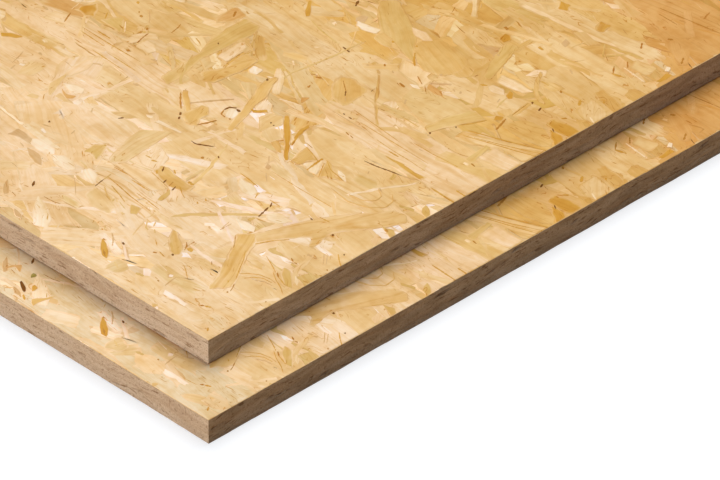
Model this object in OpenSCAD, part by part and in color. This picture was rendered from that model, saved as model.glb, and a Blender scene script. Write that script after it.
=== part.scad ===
// Two square-edged oriented strand board panels, stacked flat, the upper one set back
// from a corner of the lower one. X runs along the panels, Y across them and Z up.
// The origin is at floor level, in the middle of the stack's footprint.

/* [Panel] */
// Length of one panel, along the strands of its faces
panel_length = 2440; // [600:10:3000]
// Width of one panel, across the strands of its faces
panel_width = 1220; // [300:10:1500]
// Thickness of one panel
panel_thickness = 18; // [6:1:30]
// Arris taken off every sawn edge and corner, measured along each face
arris = 0.5; // [0.1:0.1:2]

/* [Stack] */
// How far the upper panel's end lies behind the lower panel's end
end_setback = 40; // [0:0.5:200]
// How far the upper panel's side lies behind the lower panel's side
side_setback = 38; // [0:0.5:200]

/* [Hidden] */

// The two panels lie opposite each other about the middle of the footprint
lower_centre = [end_setback / 2, -side_setback / 2, 0];
upper_centre = [-end_setback / 2, side_setback / 2, panel_thickness];

// A rectangle about the origin with its four corners cut back by the arris
module eased_rectangle(size_x, size_y) {
  half_x = size_x / 2;
  half_y = size_y / 2;
  polygon([
    [half_x, half_y - arris],
    [half_x - arris, half_y],
    [arris - half_x, half_y],
    [-half_x, half_y - arris],
    [-half_x, arris - half_y],
    [arris - half_x, -half_y],
    [half_x - arris, -half_y],
    [half_x, arris - half_y],
  ]);
}

// One panel, lying on the plane below it: what its plan, its long section and
// its cross section have in common, so the arris runs round every edge
module panel() {
  translate([0, 0, panel_thickness / 2])
    intersection() {
      linear_extrude(panel_thickness, center = true)
        eased_rectangle(panel_length, panel_width);
      rotate([90, 0, 0])
        linear_extrude(panel_width, center = true)
          eased_rectangle(panel_length, panel_thickness);
      rotate([90, 0, 90])
        linear_extrude(panel_length, center = true)
          eased_rectangle(panel_width, panel_thickness);
    }
}

module lower_panel() {
  color("burlywood")
    translate(lower_centre)
      panel();
}

module upper_panel() {
  color("burlywood")
    translate(upper_centre)
      panel();
}

lower_panel();
upper_panel();
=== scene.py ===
"""Looks for a stack of two oriented strand board panels.

Each panel is a sawn core with wood strands laid on its faces as thin pressed slabs. A strand's place is in
millimetres from its panel's near corner, the corner that the photograph shows: x runs back along the panel,
so it is 0 or less, and y runs across the panel, so it is 0 or more. What is listed past a sawn edge is cut
off there.
"""
import math
from collections import namedtuple

import bpy
import numpy as np
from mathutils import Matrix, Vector


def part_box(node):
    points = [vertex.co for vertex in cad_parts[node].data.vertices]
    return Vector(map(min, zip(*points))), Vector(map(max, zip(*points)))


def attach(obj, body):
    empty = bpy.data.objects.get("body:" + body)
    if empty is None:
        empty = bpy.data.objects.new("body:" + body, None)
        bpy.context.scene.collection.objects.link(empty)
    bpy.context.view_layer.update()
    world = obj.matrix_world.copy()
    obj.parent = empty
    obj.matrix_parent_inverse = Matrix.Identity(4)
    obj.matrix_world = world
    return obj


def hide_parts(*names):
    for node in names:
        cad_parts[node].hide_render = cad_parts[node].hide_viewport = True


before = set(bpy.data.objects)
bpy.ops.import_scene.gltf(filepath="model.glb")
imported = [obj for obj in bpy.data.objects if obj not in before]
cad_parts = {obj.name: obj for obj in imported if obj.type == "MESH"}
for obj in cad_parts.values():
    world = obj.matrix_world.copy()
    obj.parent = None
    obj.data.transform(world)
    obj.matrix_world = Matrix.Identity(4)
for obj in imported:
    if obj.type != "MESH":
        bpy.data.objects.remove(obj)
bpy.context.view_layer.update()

MM = 0.001

# Strand layer, in millimetres
SKIN = 0.4  # thickness of the layer
SUNK = 0.05  # how deep strands are sunk into the core
RAGGED = 0.45  # spread of their ends at the sawn edges
LONGEST_REACH = 80.0  # most that a strand reaches from its centre
SHORTEST_STEP = 0.3  # shortest step of a cut outline
BEVEL = 0.25  # widest bevel

# Wood tones as sRGB, from the palest sapwood to the dark slivers
TONES = {
    "white": (250, 227, 199),
    "cream": (245, 214, 177),
    "rose": (241, 206, 165),
    # The next tone is greyer partly as painted shade, for the bare strip beside the upper panel
    "ash_and_shade": (234, 210, 176),
    "straw": (236, 200, 148),
    "sand": (230, 191, 133),
    "pale_olive": (229, 194, 140),
    "olive": (221, 182, 114),
    "tan": (216, 174, 124),
    "honey": (225, 181, 112),
    "orange": (219, 166, 100),
    "amber": (210, 154, 62),
    "moss": (150, 136, 66),
    "rust": (184, 122, 46),
    "bark": (116, 70, 22),
}

# How often a strand that the photograph doesn't show takes each tone
TONE_SHARES = {
    "white": 0.09,
    "cream": 0.16,
    "rose": 0.13,
    "straw": 0.20,
    "sand": 0.17,
    "pale_olive": 0.08,
    "olive": 0.07,
    "honey": 0.09,
    "orange": 0.005,
    "amber": 0.01,
}

# The ground tone of the face at spots that the photograph shows, and away from them
GROUND_TONE = "straw"  # away from all spots
GROUND_SPOTS = (
    ("cream", (-210, 40)),
    ("cream", (-140, 25)),
    ("cream", (-60, 15)),
    ("cream", (-30, 70)),
    ("cream", (-230, 95)),
    ("cream", (-140, 95)),
    ("straw", (-300, 140)),
    ("straw", (-190, 150)),
    ("cream", (-70, 140)),
    ("sand", (-230, 225)),
    ("straw", (-60, 215)),
    ("straw", (-150, 265)),
    ("honey", (-140, 315)),
    ("sand", (-70, 285)),
    ("honey", (-10, 315)),
    ("honey", (-70, 345)),
    ("sand", (-100, 385)),
    ("orange", (-30, 430)),
)
GROUND_BLEND = 30.0  # how far a spot's own tone reaches, in millimetres
GROUND_REACH = 160.0  # how far from a spot GROUND_TONE takes over

# Kinds of strewn strands: cover is a share of the face, and far is what is kept of it out of view
# Each kind also sets how strong the painted shade along a strand's lifted rim can be
Kind = namedtuple("Kind", "cover far lengths widths side_points end_points levels rims soft strength tones")
CRUMB_SHARES = {"white": 0.4, "honey": 0.4, "amber": 0.15, "rust": 0.05}
PALE_AND_HIGHLIGHT_SHARES = {"white": 0.5, "cream": 0.5}
DARK_SHARES = {"rust": 0.9, "bark": 0.1}
KINDS = {
    "broad": Kind(1.6, 0.9, (90, 150), (14, 34), 5, 3, (0.05, 0.28), 1.0, 2.2, 1.0, TONE_SHARES),
    "narrow": Kind(0.8, 0.8, (45, 110), (6, 14), 4, 2, (0.15, 0.36), 1.0, 1.5, 1.0, TONE_SHARES),
    "chip": Kind(0.15, 1.0, (12, 45), (4, 13), 4, 2, (0.465, 0.58), 0.8, 2.0, 0.6, TONE_SHARES),
    "sliver": Kind(0.07, 1.0, (18, 60), (1.5, 5), 3, 1, (0.48, 0.60), 0.6, 0.6, 0.7, TONE_SHARES),
    # Thin pale slivers at frayed borders, partly pale fibre and partly painted highlight where fibres catch
    # the light
    "fray": Kind(0.006, 0.8, (5, 22), (0.4, 0.9), 3, 0, (0.50, 0.60), 0.0, 0.1, 0.7, PALE_AND_HIGHLIGHT_SHARES),
    "crumb": Kind(0.010, 0.8, (3, 9), (1.5, 4), 3, 0, (0.50, 0.60), 0.8, 0.4, 0.8, CRUMB_SHARES),
    # Thin dark slivers, partly bark and partly painted shade in cracks between strands
    "bark_and_crack_shade": Kind(0.005, 0.8, (3, 12), (0.4, 0.9), 3, 0, (0.50, 0.60), 0.0, 0.1, 0.9, DARK_SHARES),
}

# Strands that the photograph shows, the lowest first: tone, both ends, width, figure of the grain, strength
# of the painted shade along the rim
SHOWN_STRANDS = (
    ("rose", (-280, 92), (-195, 62), 60, 0.1, 0.0),
    ("rose", (-372, 157), (-240, 161), 22, 0.3, 0.3),
    ("rose", (-335, 126), (-258, 121), 44, 0.2, 0.1),
    ("honey", (-356, 142), (-286, 144), 11, 0.3, 0.2),
    ("rose", (-296, 169), (-190, 163), 24, 0.6, 0.4),
    ("orange", (-332, 177), (-296, 184), 15, 0.3, 0.1),
    ("honey", (-307, 192), (-264, 197), 24, 0.4, 0.4),
    ("sand", (-300, 212), (-240, 208), 26, 0.3, 0.2),
    ("straw", (-250, 141), (-140, 139), 26, 0.5, 0.1),
    ("rose", (-268, 152), (-236, 98), 26, 0.2, 0.1),
    ("rose", (-252, 98), (-188, 62), 32, 0.2, 0.1),
    ("cream", (-235, 108), (-168, 106), 30, 0.2, 0.0),
    ("cream", (-182, 92), (-126, 92), 17, 0.2, 0.3),
    ("rose", (-264, 50), (-198, 42), 42, 0.2, 0.1),
    ("rose", (-236, 16), (-184, 26), 30, 0.2, 0.1),
    ("rose", (-207, 44), (-148, 16), 24, 0.2, 0.1),
    ("rose", (-192, 18), (-150, 62), 18, 0.2, 0.0),
    ("rose", (-168, 46), (-118, 42), 18, 0.3, 0.1),
    ("cream", (-122, 46), (-70, 40), 24, 0.2, 0.1),
    ("cream", (-78, 34), (6, 26), 46, 0.2, 0.1),
    ("cream", (-64, 5), (8, 13), 11, 0.2, 0.2),
    ("cream", (-124, 8), (-60, 6), 13, 0.2, 0.1),
    ("cream", (-132, 86), (-64, 80), 34, 0.2, 0.1),
    ("straw", (-46, 110), (8, 104), 32, 0.2, 0.1),
    ("straw", (-66, 66), (8, 62), 34, 0.2, 0.1),
    ("straw", (-36, 138), (8, 130), 26, 0.2, 0.1),
    ("straw", (-168, 126), (-112, 122), 22, 0.3, 0.1),
    ("cream", (-206, 178), (-164, 171), 22, 0.2, 0.0),
    ("rose", (-128, 224), (34, 222), 37, 0.6, 0.3),
    ("straw", (-114, 192), (-14, 189), 27, 0.3, 0.2),
    ("straw", (-86, 172), (-14, 169), 23, 0.6, 0.2),
    ("straw", (-152, 148), (-32, 145), 32, 0.4, 0.2),
    ("sand", (-240, 276), (-150, 269), 20, 0.5, 0.1),
    ("straw", (-240, 258), (-128, 252), 26, 0.3, 0.1),
    ("straw", (-160, 268), (-96, 262), 26, 0.2, 0.1),
    ("honey", (-124, 312), (-74, 304), 30, 0.3, 0.1),
    ("straw", (-100, 364), (6, 362), 26, 0.3, 0.1),
    ("straw", (-100, 292), (-36, 300), 24, 0.2, 0.1),
    ("sand", (-66, 340), (4, 334), 34, 0.2, 0.2),
    ("straw", (-128, 336), (-92, 330), 24, 0.2, 0.1),
    ("olive", (-150, 372), (-96, 378), 16, 0.3, 0.2),
    ("straw", (-130, 392), (-20, 398), 22, 0.3, 0.1),
    ("honey", (-120, 408), (-40, 412), 20, 0.3, 0.1),
    ("orange", (-100, 438), (4, 446), 44, 0.6, 0.1),
    ("orange", (-62, 424), (8, 420), 12, 0.3, 0.1),
    ("olive", (-66, 118), (-113, 68), 4, 0.2, 0.1),
    ("cream", (-172, 71), (-110, 66), 18, 1.0, 0.2),
    ("cream", (-122, 382), (-48, 390), 5, 0.2, 0.1),
    ("cream", (-148, 2), (-112, 34), 19, 0.2, 0.1),
)

# Patches that it shows on top of those, the lowest first: tone, figure of the grain, strength of the painted
# shade along the rim, corners
SHOWN_PATCHES = (
    ("sand", 0.7, 0.3, (-62, 92), (-56, 105), (-51, 120), (-44, 136), (-34, 152), (-25, 163), (-20, 172),
     (-10, 174), (-4, 168), (-9, 157), (-15, 148), (-21, 138), (-28, 128), (-24, 110), (-27, 108),
     (-33, 116), (-38, 112), (-43, 103), (-49, 93), (-53, 86)),
    ("honey", 0.7, 0.5, (-68, 87), (-60, 76), (-51, 61), (-44, 48), (-41, 39), (-37, 36), (-34, 41),
     (-31, 43), (-29, 49), (-33, 56), (-40, 67), (-46, 77), (-52, 90), (-60, 96)),
    ("honey", 0.4, 0.4, (-98, 64), (-93, 64), (-88, 60), (-82, 57), (-77, 53), (-75, 48), (-77, 45),
     (-82, 46), (-88, 50), (-93, 55)),
    ("amber", 0.5, 0.3, (-120, 26.5), (-114, 25), (-108, 21), (-104, 17), (-102.5, 14), (-107, 13.5),
     (-112, 17), (-117, 22)),
    ("pale_olive", 0.2, 0.2, (-98, 19), (-92, 20), (-86, 17), (-85, 11), (-88, 7), (-96, 5), (-99, 10)),
    ("olive", 0.3, 0.2, (-23, 84), (-16, 84), (-8, 77), (-3, 72), (-9, 71), (-14, 74), (-19, 77)),
    ("white", 0.1, 0.0, (-12, 83), (-6, 80), (-3, 76), (-8, 78)),
    ("cream", 0.1, 0.0, (-116, 66), (-100, 65), (-88, 69), (-80, 66), (-84, 61), (-94, 63), (-104, 62)),
    ("white", 0.1, 0.1, (-80, 98), (-72, 101), (-64, 100), (-61, 96), (-67, 93), (-75, 95)),
    ("white", 0.1, 0.1, (-66, 121), (-52, 121), (-58, 111), (-66, 110), (-70, 114)),
    ("sand", 0.3, 0.2, (-45, 74), (-40, 79), (-32, 78), (-29, 72), (-38, 69)),
    ("cream", 0.1, 0.1, (-80, 15), (-70, 22), (-57, 20), (-52, 12), (-60, 5), (-72, 8)),
    ("pale_olive", 0.4, 0.3, (-187, 121), (-186, 110), (-181, 92), (-178, 86), (-174, 84), (-170, 88),
     (-167.5, 91), (-169, 105), (-170, 120), (-171, 134), (-176, 130), (-184, 124)),
    ("olive", 0.3, 0.2, (-196, 90), (-190, 96), (-187, 94), (-183, 84), (-182, 80), (-190, 81), (-194, 80)),
    ("tan", 0.2, 0.1, (-240, 69), (-232, 69), (-224, 68), (-221, 63), (-224, 61), (-233, 62), (-240, 59)),
    ("tan", 0.2, 0.0, (-222, 59), (-212, 60), (-205, 57), (-200, 52), (-206, 51), (-214, 54)),
    ("white", 0.1, 0.0, (-226, 68), (-218, 73), (-209, 71), (-204, 66), (-208, 62), (-216, 61), (-223, 63)),
    ("white", 0.1, 0.0, (-205, 64), (-199, 70), (-190, 69), (-183, 64), (-186, 59), (-197, 58)),
    ("white", 0.1, 0.0, (-240, 77), (-228, 76), (-212, 74), (-205, 73), (-212, 69), (-226, 70), (-240, 72)),
    ("white", 0.1, 0.0, (-180, 30), (-168, 26), (-157, 20), (-150, 10), (-158, 6), (-165, 11), (-172, 18)),
    ("tan", 0.3, 0.2, (-205, 28), (-199, 24), (-193, 18), (-194, 15), (-199, 18), (-203, 23)),
    ("tan", 0.2, 0.1, (-180, 10), (-172, 9), (-167, 5), (-174, 5)),
    ("cream", 0.5, 0.4, (-172, 84), (-152, 82), (-136, 80), (-130, 88), (-131, 92), (-150, 95), (-168, 91)),
    ("cream", 0.2, 0.3, (-168, 119), (-152, 113), (-148, 98), (-158, 96), (-168, 100)),
    ("white", 0.1, 0.1, (-179, 72), (-169, 70), (-164, 61), (-172, 60), (-180, 66)),
    ("straw", 0.3, 0.0, (-162, 60), (-148, 62), (-137, 56), (-135, 46), (-150, 44), (-161, 50)),
    ("honey", 0.4, 0.4, (-151, 104), (-145, 106), (-134, 103), (-120, 104), (-119, 95), (-130, 92),
     (-142, 93), (-150, 96)),
    ("olive", 0.2, 0.4, (-134, 63), (-126, 65), (-123, 58), (-127, 55.5), (-131, 59)),
    ("olive", 0.2, 0.3, (-129, 91), (-125, 88), (-123, 79), (-126, 77), (-128, 82)),
    ("pale_olive", 0.2, 0.2, (-131, 120), (-128, 120), (-127.5, 104), (-130.5, 104)),
    ("honey", 0.4, 0.4, (-128, 172), (-120, 173), (-115, 170), (-109, 165), (-112, 164), (-120, 167)),
    ("sand", 0.2, 0.0, (-138, 178), (-128, 182), (-120, 176), (-122, 168), (-132, 168)),
    ("sand", 0.3, 0.3, (-145, 190), (-137, 193), (-130, 186), (-132, 180), (-135, 170), (-140, 175),
     (-147, 182)),
    ("amber", 0.5, 0.3, (-137, 194), (-135, 196), (-128, 190), (-120, 184), (-112, 175), (-101, 163),
     (-102, 161), (-107, 164), (-115, 173), (-125, 181), (-131, 187)),
    ("amber", 0.4, 0.5, (-120, 198), (-117, 196), (-116, 190), (-113, 181), (-110.5, 174.5), (-113, 177),
     (-117, 183), (-120, 190)),
    ("honey", 0.3, 0.4, (-104, 181), (-95, 178), (-88, 176), (-92, 170), (-93, 164), (-100, 163),
     (-103, 170)),
    ("white", 0.1, 0.2, (-93, 166), (-89, 176), (-86, 178), (-82, 172), (-78, 164), (-84, 163.5)),
    ("honey", 0.5, 0.4, (-85, 180), (-80, 179), (-70, 173), (-62, 172), (-66, 169), (-73, 166), (-75, 163),
     (-79, 168)),
    ("white", 0.1, 0.0, (-73, 177), (-66, 177), (-60, 172), (-64, 171.5), (-70, 174)),
    ("olive", 0.2, 0.1, (-48, 199), (-43, 199), (-42, 193), (-45, 192)),
    ("olive", 0.3, 0.2, (-10, 190), (-5, 188), (0, 184), (0, 180), (-6, 182), (-9, 185)),
    ("olive", 0.3, 0.2, (-22, 178), (-12, 182), (-9, 179), (-18, 176.5)),
    ("olive", 0.3, 0.2, (-13, 155), (-5, 158), (0, 155), (0, 150), (-8, 153)),
    ("white", 0.1, 0.1, (-109, 130), (-97, 130), (-90, 127), (-89, 121), (-97, 119), (-104, 123)),
    ("tan", 0.2, 0.1, (-108, 152), (-103, 151), (-102, 147), (-106, 147)),
    ("rose", 0.1, 0.1, (-30, 192), (-20, 193), (-12, 188), (-16, 184), (-26, 186)),
    ("rose", 0.1, 0.0, (-9, 148), (-2, 146), (-1, 138), (-7, 140)),
    ("olive", 0.4, 0.2, (-230, 250), (-216, 250), (-213, 240), (-214, 228), (-215, 210), (-216, 198),
     (-210, 180), (-210, 165), (-220, 168), (-221, 185), (-222, 203), (-228, 218), (-230, 235)),
    ("olive", 0.3, 0.3, (-224, 200), (-219, 194), (-209, 177), (-204, 173), (-206, 171), (-212, 177),
     (-219, 189)),
    ("sand", 0.3, 0.1, (-212, 190), (-206, 190), (-196, 184), (-191, 180), (-203, 178), (-212, 183)),
    ("honey", 0.5, 0.2, (-203, 224), (-190, 224), (-189, 208), (-191, 195), (-192, 187), (-198, 183),
     (-207, 190), (-200, 203)),
    ("pale_olive", 0.2, 0.1, (-240, 197), (-230, 190), (-221, 183), (-219, 177), (-228, 184), (-240, 192)),
    ("white", 0.1, 0.1, (-189, 218), (-181, 219), (-180, 212), (-185, 210), (-188, 212)),
    ("pale_olive", 0.4, 0.3, (-183, 200), (-173, 206), (-165, 196), (-161, 187), (-168, 192), (-176, 196)),
    ("cream", 0.1, 0.2, (-158, 199), (-150, 197), (-145, 190), (-153, 184), (-157, 188)),
    ("honey", 0.5, 0.5, (-171, 219), (-168, 219), (-163, 208), (-158, 199), (-157, 190), (-154, 182),
     (-150, 170), (-147, 159), (-151, 159), (-156, 168), (-160, 180), (-164, 190), (-170, 203),
     (-173, 212)),
    ("amber", 0.2, 0.4, (-157, 184), (-152, 182), (-146, 189), (-149, 191), (-153, 185.5)),
    ("white", 0.1, 0.2, (-166, 176), (-161, 178), (-157, 175), (-156, 169), (-161, 167), (-165, 170)),
    ("honey", 0.3, 0.3, (-180, 166), (-175, 167), (-169, 162), (-170, 155), (-165, 148), (-172, 145),
     (-182, 150), (-181, 160)),
    ("sand", 0.3, 0.1, (-200, 144), (-185, 143), (-165, 141), (-166, 138), (-185, 138), (-200, 141)),
    ("orange", 0.2, 0.4, (-144, 215), (-140, 219), (-139, 210), (-142, 212)),
    ("cream", 0.3, 0.2, (-152, 204), (-145, 207), (-136, 209), (-130, 204), (-140, 203)),
    ("rose", 0.1, 0.1, (-265, 151), (-258, 149), (-256, 141), (-258, 129), (-263, 128), (-266, 140)),
    ("rose", 0.2, 0.0, (-243, 108), (-225, 115), (-192, 107), (-186, 97), (-210, 96), (-234, 99)),
    ("rose", 0.4, 0.0, (-76, 214), (-63, 220), (-39, 220), (-36, 212), (-56, 209), (-72, 208)),
    ("amber", 0.2, 0.1, (-323, 131), (-318, 136), (-309, 138), (-312, 133), (-319, 128)),
    ("sand", 0.2, 0.2, (-262, 130), (-260, 128), (-257, 120), (-251, 107), (-253, 106), (-258, 110),
     (-262, 116)),
    ("orange", 0.2, 0.1, (-253, 117), (-246, 115), (-240, 118), (-239, 114), (-242, 110.5), (-248, 113)),
    ("white", 0.1, 0.1, (-257, 121), (-249, 126), (-242, 127), (-239, 122), (-243, 117), (-250, 118)),
    ("sand", 0.1, 0.1, (-262, 101), (-256, 102), (-254, 98), (-262, 95)),
    ("amber", 0.3, 0.1, (-310, 186), (-305, 196), (-299, 191), (-295, 184), (-300, 180), (-308, 182)),
    ("olive", 0.3, 0.3, (-287, 192), (-282, 197), (-275, 190), (-271, 183.5), (-283, 184), (-291, 184)),
    ("cream", 0.1, 0.3, (-265, 188), (-259, 197), (-254, 199), (-249, 195), (-256, 190), (-257, 180),
     (-267, 179), (-264, 183)),
    ("cream", 0.2, 0.1, (-255, 190), (-247, 190), (-241, 186), (-243, 180), (-255, 180)),
    ("pale_olive", 0.2, 0.1, (-105, 272), (-92, 278), (-75, 282), (-60, 280), (-62, 262), (-66, 248),
     (-80, 250), (-100, 256)),
    ("olive", 0.3, 0.5, (-62, 281), (-48, 279), (-52, 270), (-56, 262), (-60, 252), (-63, 244), (-70, 246),
     (-68, 265)),
    ("rose", 0.2, 0.2, (-24, 262), (0, 262), (0, 249), (-24, 246)),
    ("straw", 1.0, 0.3, (-50, 261), (-35, 266), (-15, 275), (0, 282), (0, 263), (-22, 263), (-38, 252),
     (-49, 251)),
    ("honey", 0.4, 0.1, (-31, 296), (-20, 298), (-5, 292), (0, 287), (-5, 282), (-20, 279), (-38, 281),
     (-36, 290)),
    ("amber", 0.3, 0.1, (-22, 309), (-8, 312), (0, 311), (0, 302), (-10, 300), (-20, 301)),
    ("amber", 0.3, 0.1, (-15, 299), (-5, 300), (0, 297), (0, 289), (-8, 293)),
    ("honey", 0.3, 0.6, (-45, 310), (-41, 311), (-39, 300), (-39.5, 293), (-42, 292.5), (-44, 302)),
    ("amber", 0.2, 0.3, (-61, 311), (-57, 311), (-53, 306), (-55, 303.5), (-59, 305)),
    ("amber", 0.3, 0.2, (-48, 286), (-43, 289), (-41, 285), (-45, 281)),
    ("cream", 0.1, 0.2, (-77, 320), (-65, 322), (-49, 321), (-52, 314), (-62, 312), (-73, 311)),
    ("cream", 0.1, 0.1, (-73, 308), (-64, 310), (-59, 305), (-66, 301), (-73, 303)),
    ("cream", 0.1, 0.2, (-67, 338), (-60, 343), (-56, 338), (-60, 331), (-66, 328)),
    ("honey", 0.4, 0.4, (-63, 339), (-59, 338), (-53, 328), (-47, 322), (-38, 318), (-35, 316),
     (-40, 314.5), (-48, 319), (-57, 328)),
    ("tan", 0.2, 0.2, (-112, 332), (-102, 338), (-96, 342), (-91, 333), (-92, 328), (-100, 330)),
    ("olive", 0.3, 0.3, (-99, 345), (-90, 349), (-85, 335), (-80, 320), (-77, 311), (-82, 309), (-88, 318),
     (-94, 330)),
    ("amber", 0.2, 0.1, (-107, 352), (-103, 354), (-98, 350), (-100, 344), (-106, 346)),
    ("honey", 0.3, 0.1, (-120, 317), (-105, 316), (-92, 312), (-88, 305), (-92, 298), (-105, 297),
     (-120, 300)),
    ("straw", 0.2, 0.3, (-19, 341), (-5, 339), (0, 334), (0, 322), (-10, 321), (-19, 325)),
    ("olive", 0.3, 0.3, (-30, 260), (-25.5, 260), (-24, 250), (-21, 240), (-28, 240), (-29, 250)),
    ("white", 0.1, 0.1, (-109, 272), (-104, 275), (-99, 273), (-104, 270.5)),
    ("orange", 0.3, 0.1, (-101, 281), (-90, 281), (-82, 277), (-90, 275), (-98, 276)),
    ("olive", 0.3, 0.3, (-186, 322), (-178, 331), (-172, 328), (-160, 322), (-150, 316), (-142, 311),
     (-135, 303), (-128, 296), (-120, 289), (-125, 290), (-135, 292), (-145, 296), (-160, 297), (-170, 305),
     (-178, 312)),
    ("amber", 0.3, 0.2, (-217, 291), (-214, 292), (-208, 285), (-203, 279), (-205, 277), (-211, 282.5)),
    ("tan", 0.1, 0.1, (-182, 304), (-178, 305), (-175, 299), (-180, 295), (-183, 299)),
    ("white", 0.1, 0.1, (-180, 297), (-170, 299), (-162, 301), (-161, 295), (-170, 292), (-177, 292.5)),
    ("honey", 0.3, 0.1, (-160, 300), (-150, 299), (-145, 292), (-138, 292), (-150, 289), (-160, 291)),
    ("honey", 0.3, 0.1, (-138, 306), (-131, 320), (-116, 319), (-101, 316), (-95, 304), (-101, 291),
     (-114, 288), (-128, 295)),
    ("rose", 0.1, 0.1, (-152, 316), (-140, 319), (-131, 315), (-135, 310), (-145, 311)),
    ("honey", 0.4, 0.2, (-143, 248), (-136, 252), (-120, 250), (-118, 226), (-132, 228), (-142, 238)),
    ("orange", 0.3, 0.2, (-243, 255), (-230, 252), (-232, 240), (-238, 233), (-243, 236)),
    ("cream", 0.2, 0.2, (-213, 232), (-204, 228), (-202.5, 208), (-212, 207)),
    ("orange", 0.3, 0.0, (-60, 436), (-45, 437), (-25, 431), (-28, 424), (-45, 423), (-60, 428)),
    ("amber", 0.3, 0.1, (-109, 402), (-100, 404), (-97, 397), (-103, 394)),
    ("amber", 0.4, 0.2, (-76, 404), (-67, 406), (-65, 396), (-70, 394), (-74, 397)),
    ("rose", 0.1, 0.1, (-89, 420), (-80, 424.5), (-76, 422), (-80, 418.5)),
    ("orange", 0.4, 0.2, (-32, 421), (-15, 421), (-4, 408), (-9, 403), (-20, 410), (-30, 413)),
    ("white", 0.0, 0.0, (-13, 398), (-10, 399), (-7, 395), (-10, 393)),
    ("amber", 0.2, 0.0, (-8, 393), (-3, 394), (-2, 383), (-6, 381)),
    ("tan", 0.2, 0.1, (-77, 375), (-71, 374), (-70, 368), (-75, 369)),
    ("pale_olive", 0.1, 0.1, (-31, 390), (-15, 393), (-13, 382), (-28, 380)),
    ("olive", 0.2, 0.2, (-120, 378), (-108, 380), (-99, 381), (-99, 378), (-108, 376), (-120, 372)),
)

# Strands and patches that the photograph shows on the lower panel alone
LOWER_STRANDS = (
    # These strands' greyer tone is partly painted shade, for the grey of the upper panel's shadow on the bare
    # strip
    ("ash_and_shade", (-250, 22), (-150, 16), 44, 0.2, 0.0),
    ("ash_and_shade", (-110, 20), (-50, 16), 40, 0.3, 0.2),
    ("ash_and_shade", (-170, 22), (-100, 18), 40, 0.3, 0.2),
    ("ash_and_shade", (-70, 22), (10, 16), 46, 0.2, 0.1),
    ("white", (-194, 4), (-172, 13), 9, 0.1, 0.1),
    ("sand", (-166, 11), (-147, 19), 5, 0.4, 0.2),
    ("white", (-146, 3), (-124, 12), 13, 0.2, 0.2),
    ("white", (-116, 14), (-96, 20), 9, 0.3, 0.2),
    ("pale_olive", (-92, 3), (-80, 20), 12, 0.4, 0.3),
    ("cream", (-62, 22), (-38, 12), 9, 0.3, 0.2),
    ("straw", (-30, 6), (-8, 16), 8, 0.4, 0.2),
    ("cream", (-50, 112), (10, 106), 34, 0.2, 0.1),
    ("cream", (-50, 166), (10, 160), 30, 0.2, 0.1),
    ("rose", (-50, 202), (10, 196), 32, 0.3, 0.1),
)
LOWER_PATCHES = (
    ("moss", 0.0, 0.0, (-179, 23), (-181, 25.5), (-181, 27.5), (-179, 28), (-177, 27), (-177, 24.7),
     (-178, 23)),
    ("bark", 0.0, 0.0, (-180, 15), (-180.3, 17), (-177, 16.3), (-173, 14.4), (-170, 11.6), (-169.6, 9.3),
     (-173, 10.3), (-176.6, 12.5)),
    ("amber", 0.0, 0.0, (-172, 18), (-171.5, 20), (-167.7, 19.4), (-166.5, 16), (-167.4, 13.8),
     (-170, 15.7)),
    ("amber", 0.0, 0.0, (-169, 7), (-169, 8.6), (-165, 6.7), (-163.6, 4.5), (-165.5, 4.7)),
    ("orange", 0.0, 0.0, (-197, 17.4), (-196.3, 21.8), (-194.5, 25.8), (-191.8, 28.6), (-189.3, 26),
     (-187, 22.3), (-189.7, 22.6), (-193, 23.7), (-194.8, 20.4)),
    ("honey", 0.0, 0.0, (-162, 8), (-161, 11), (-157.5, 15), (-154, 21), (-155, 14), (-156.3, 8.3),
     (-156, 4), (-159.6, 5.7)),
)
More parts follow.
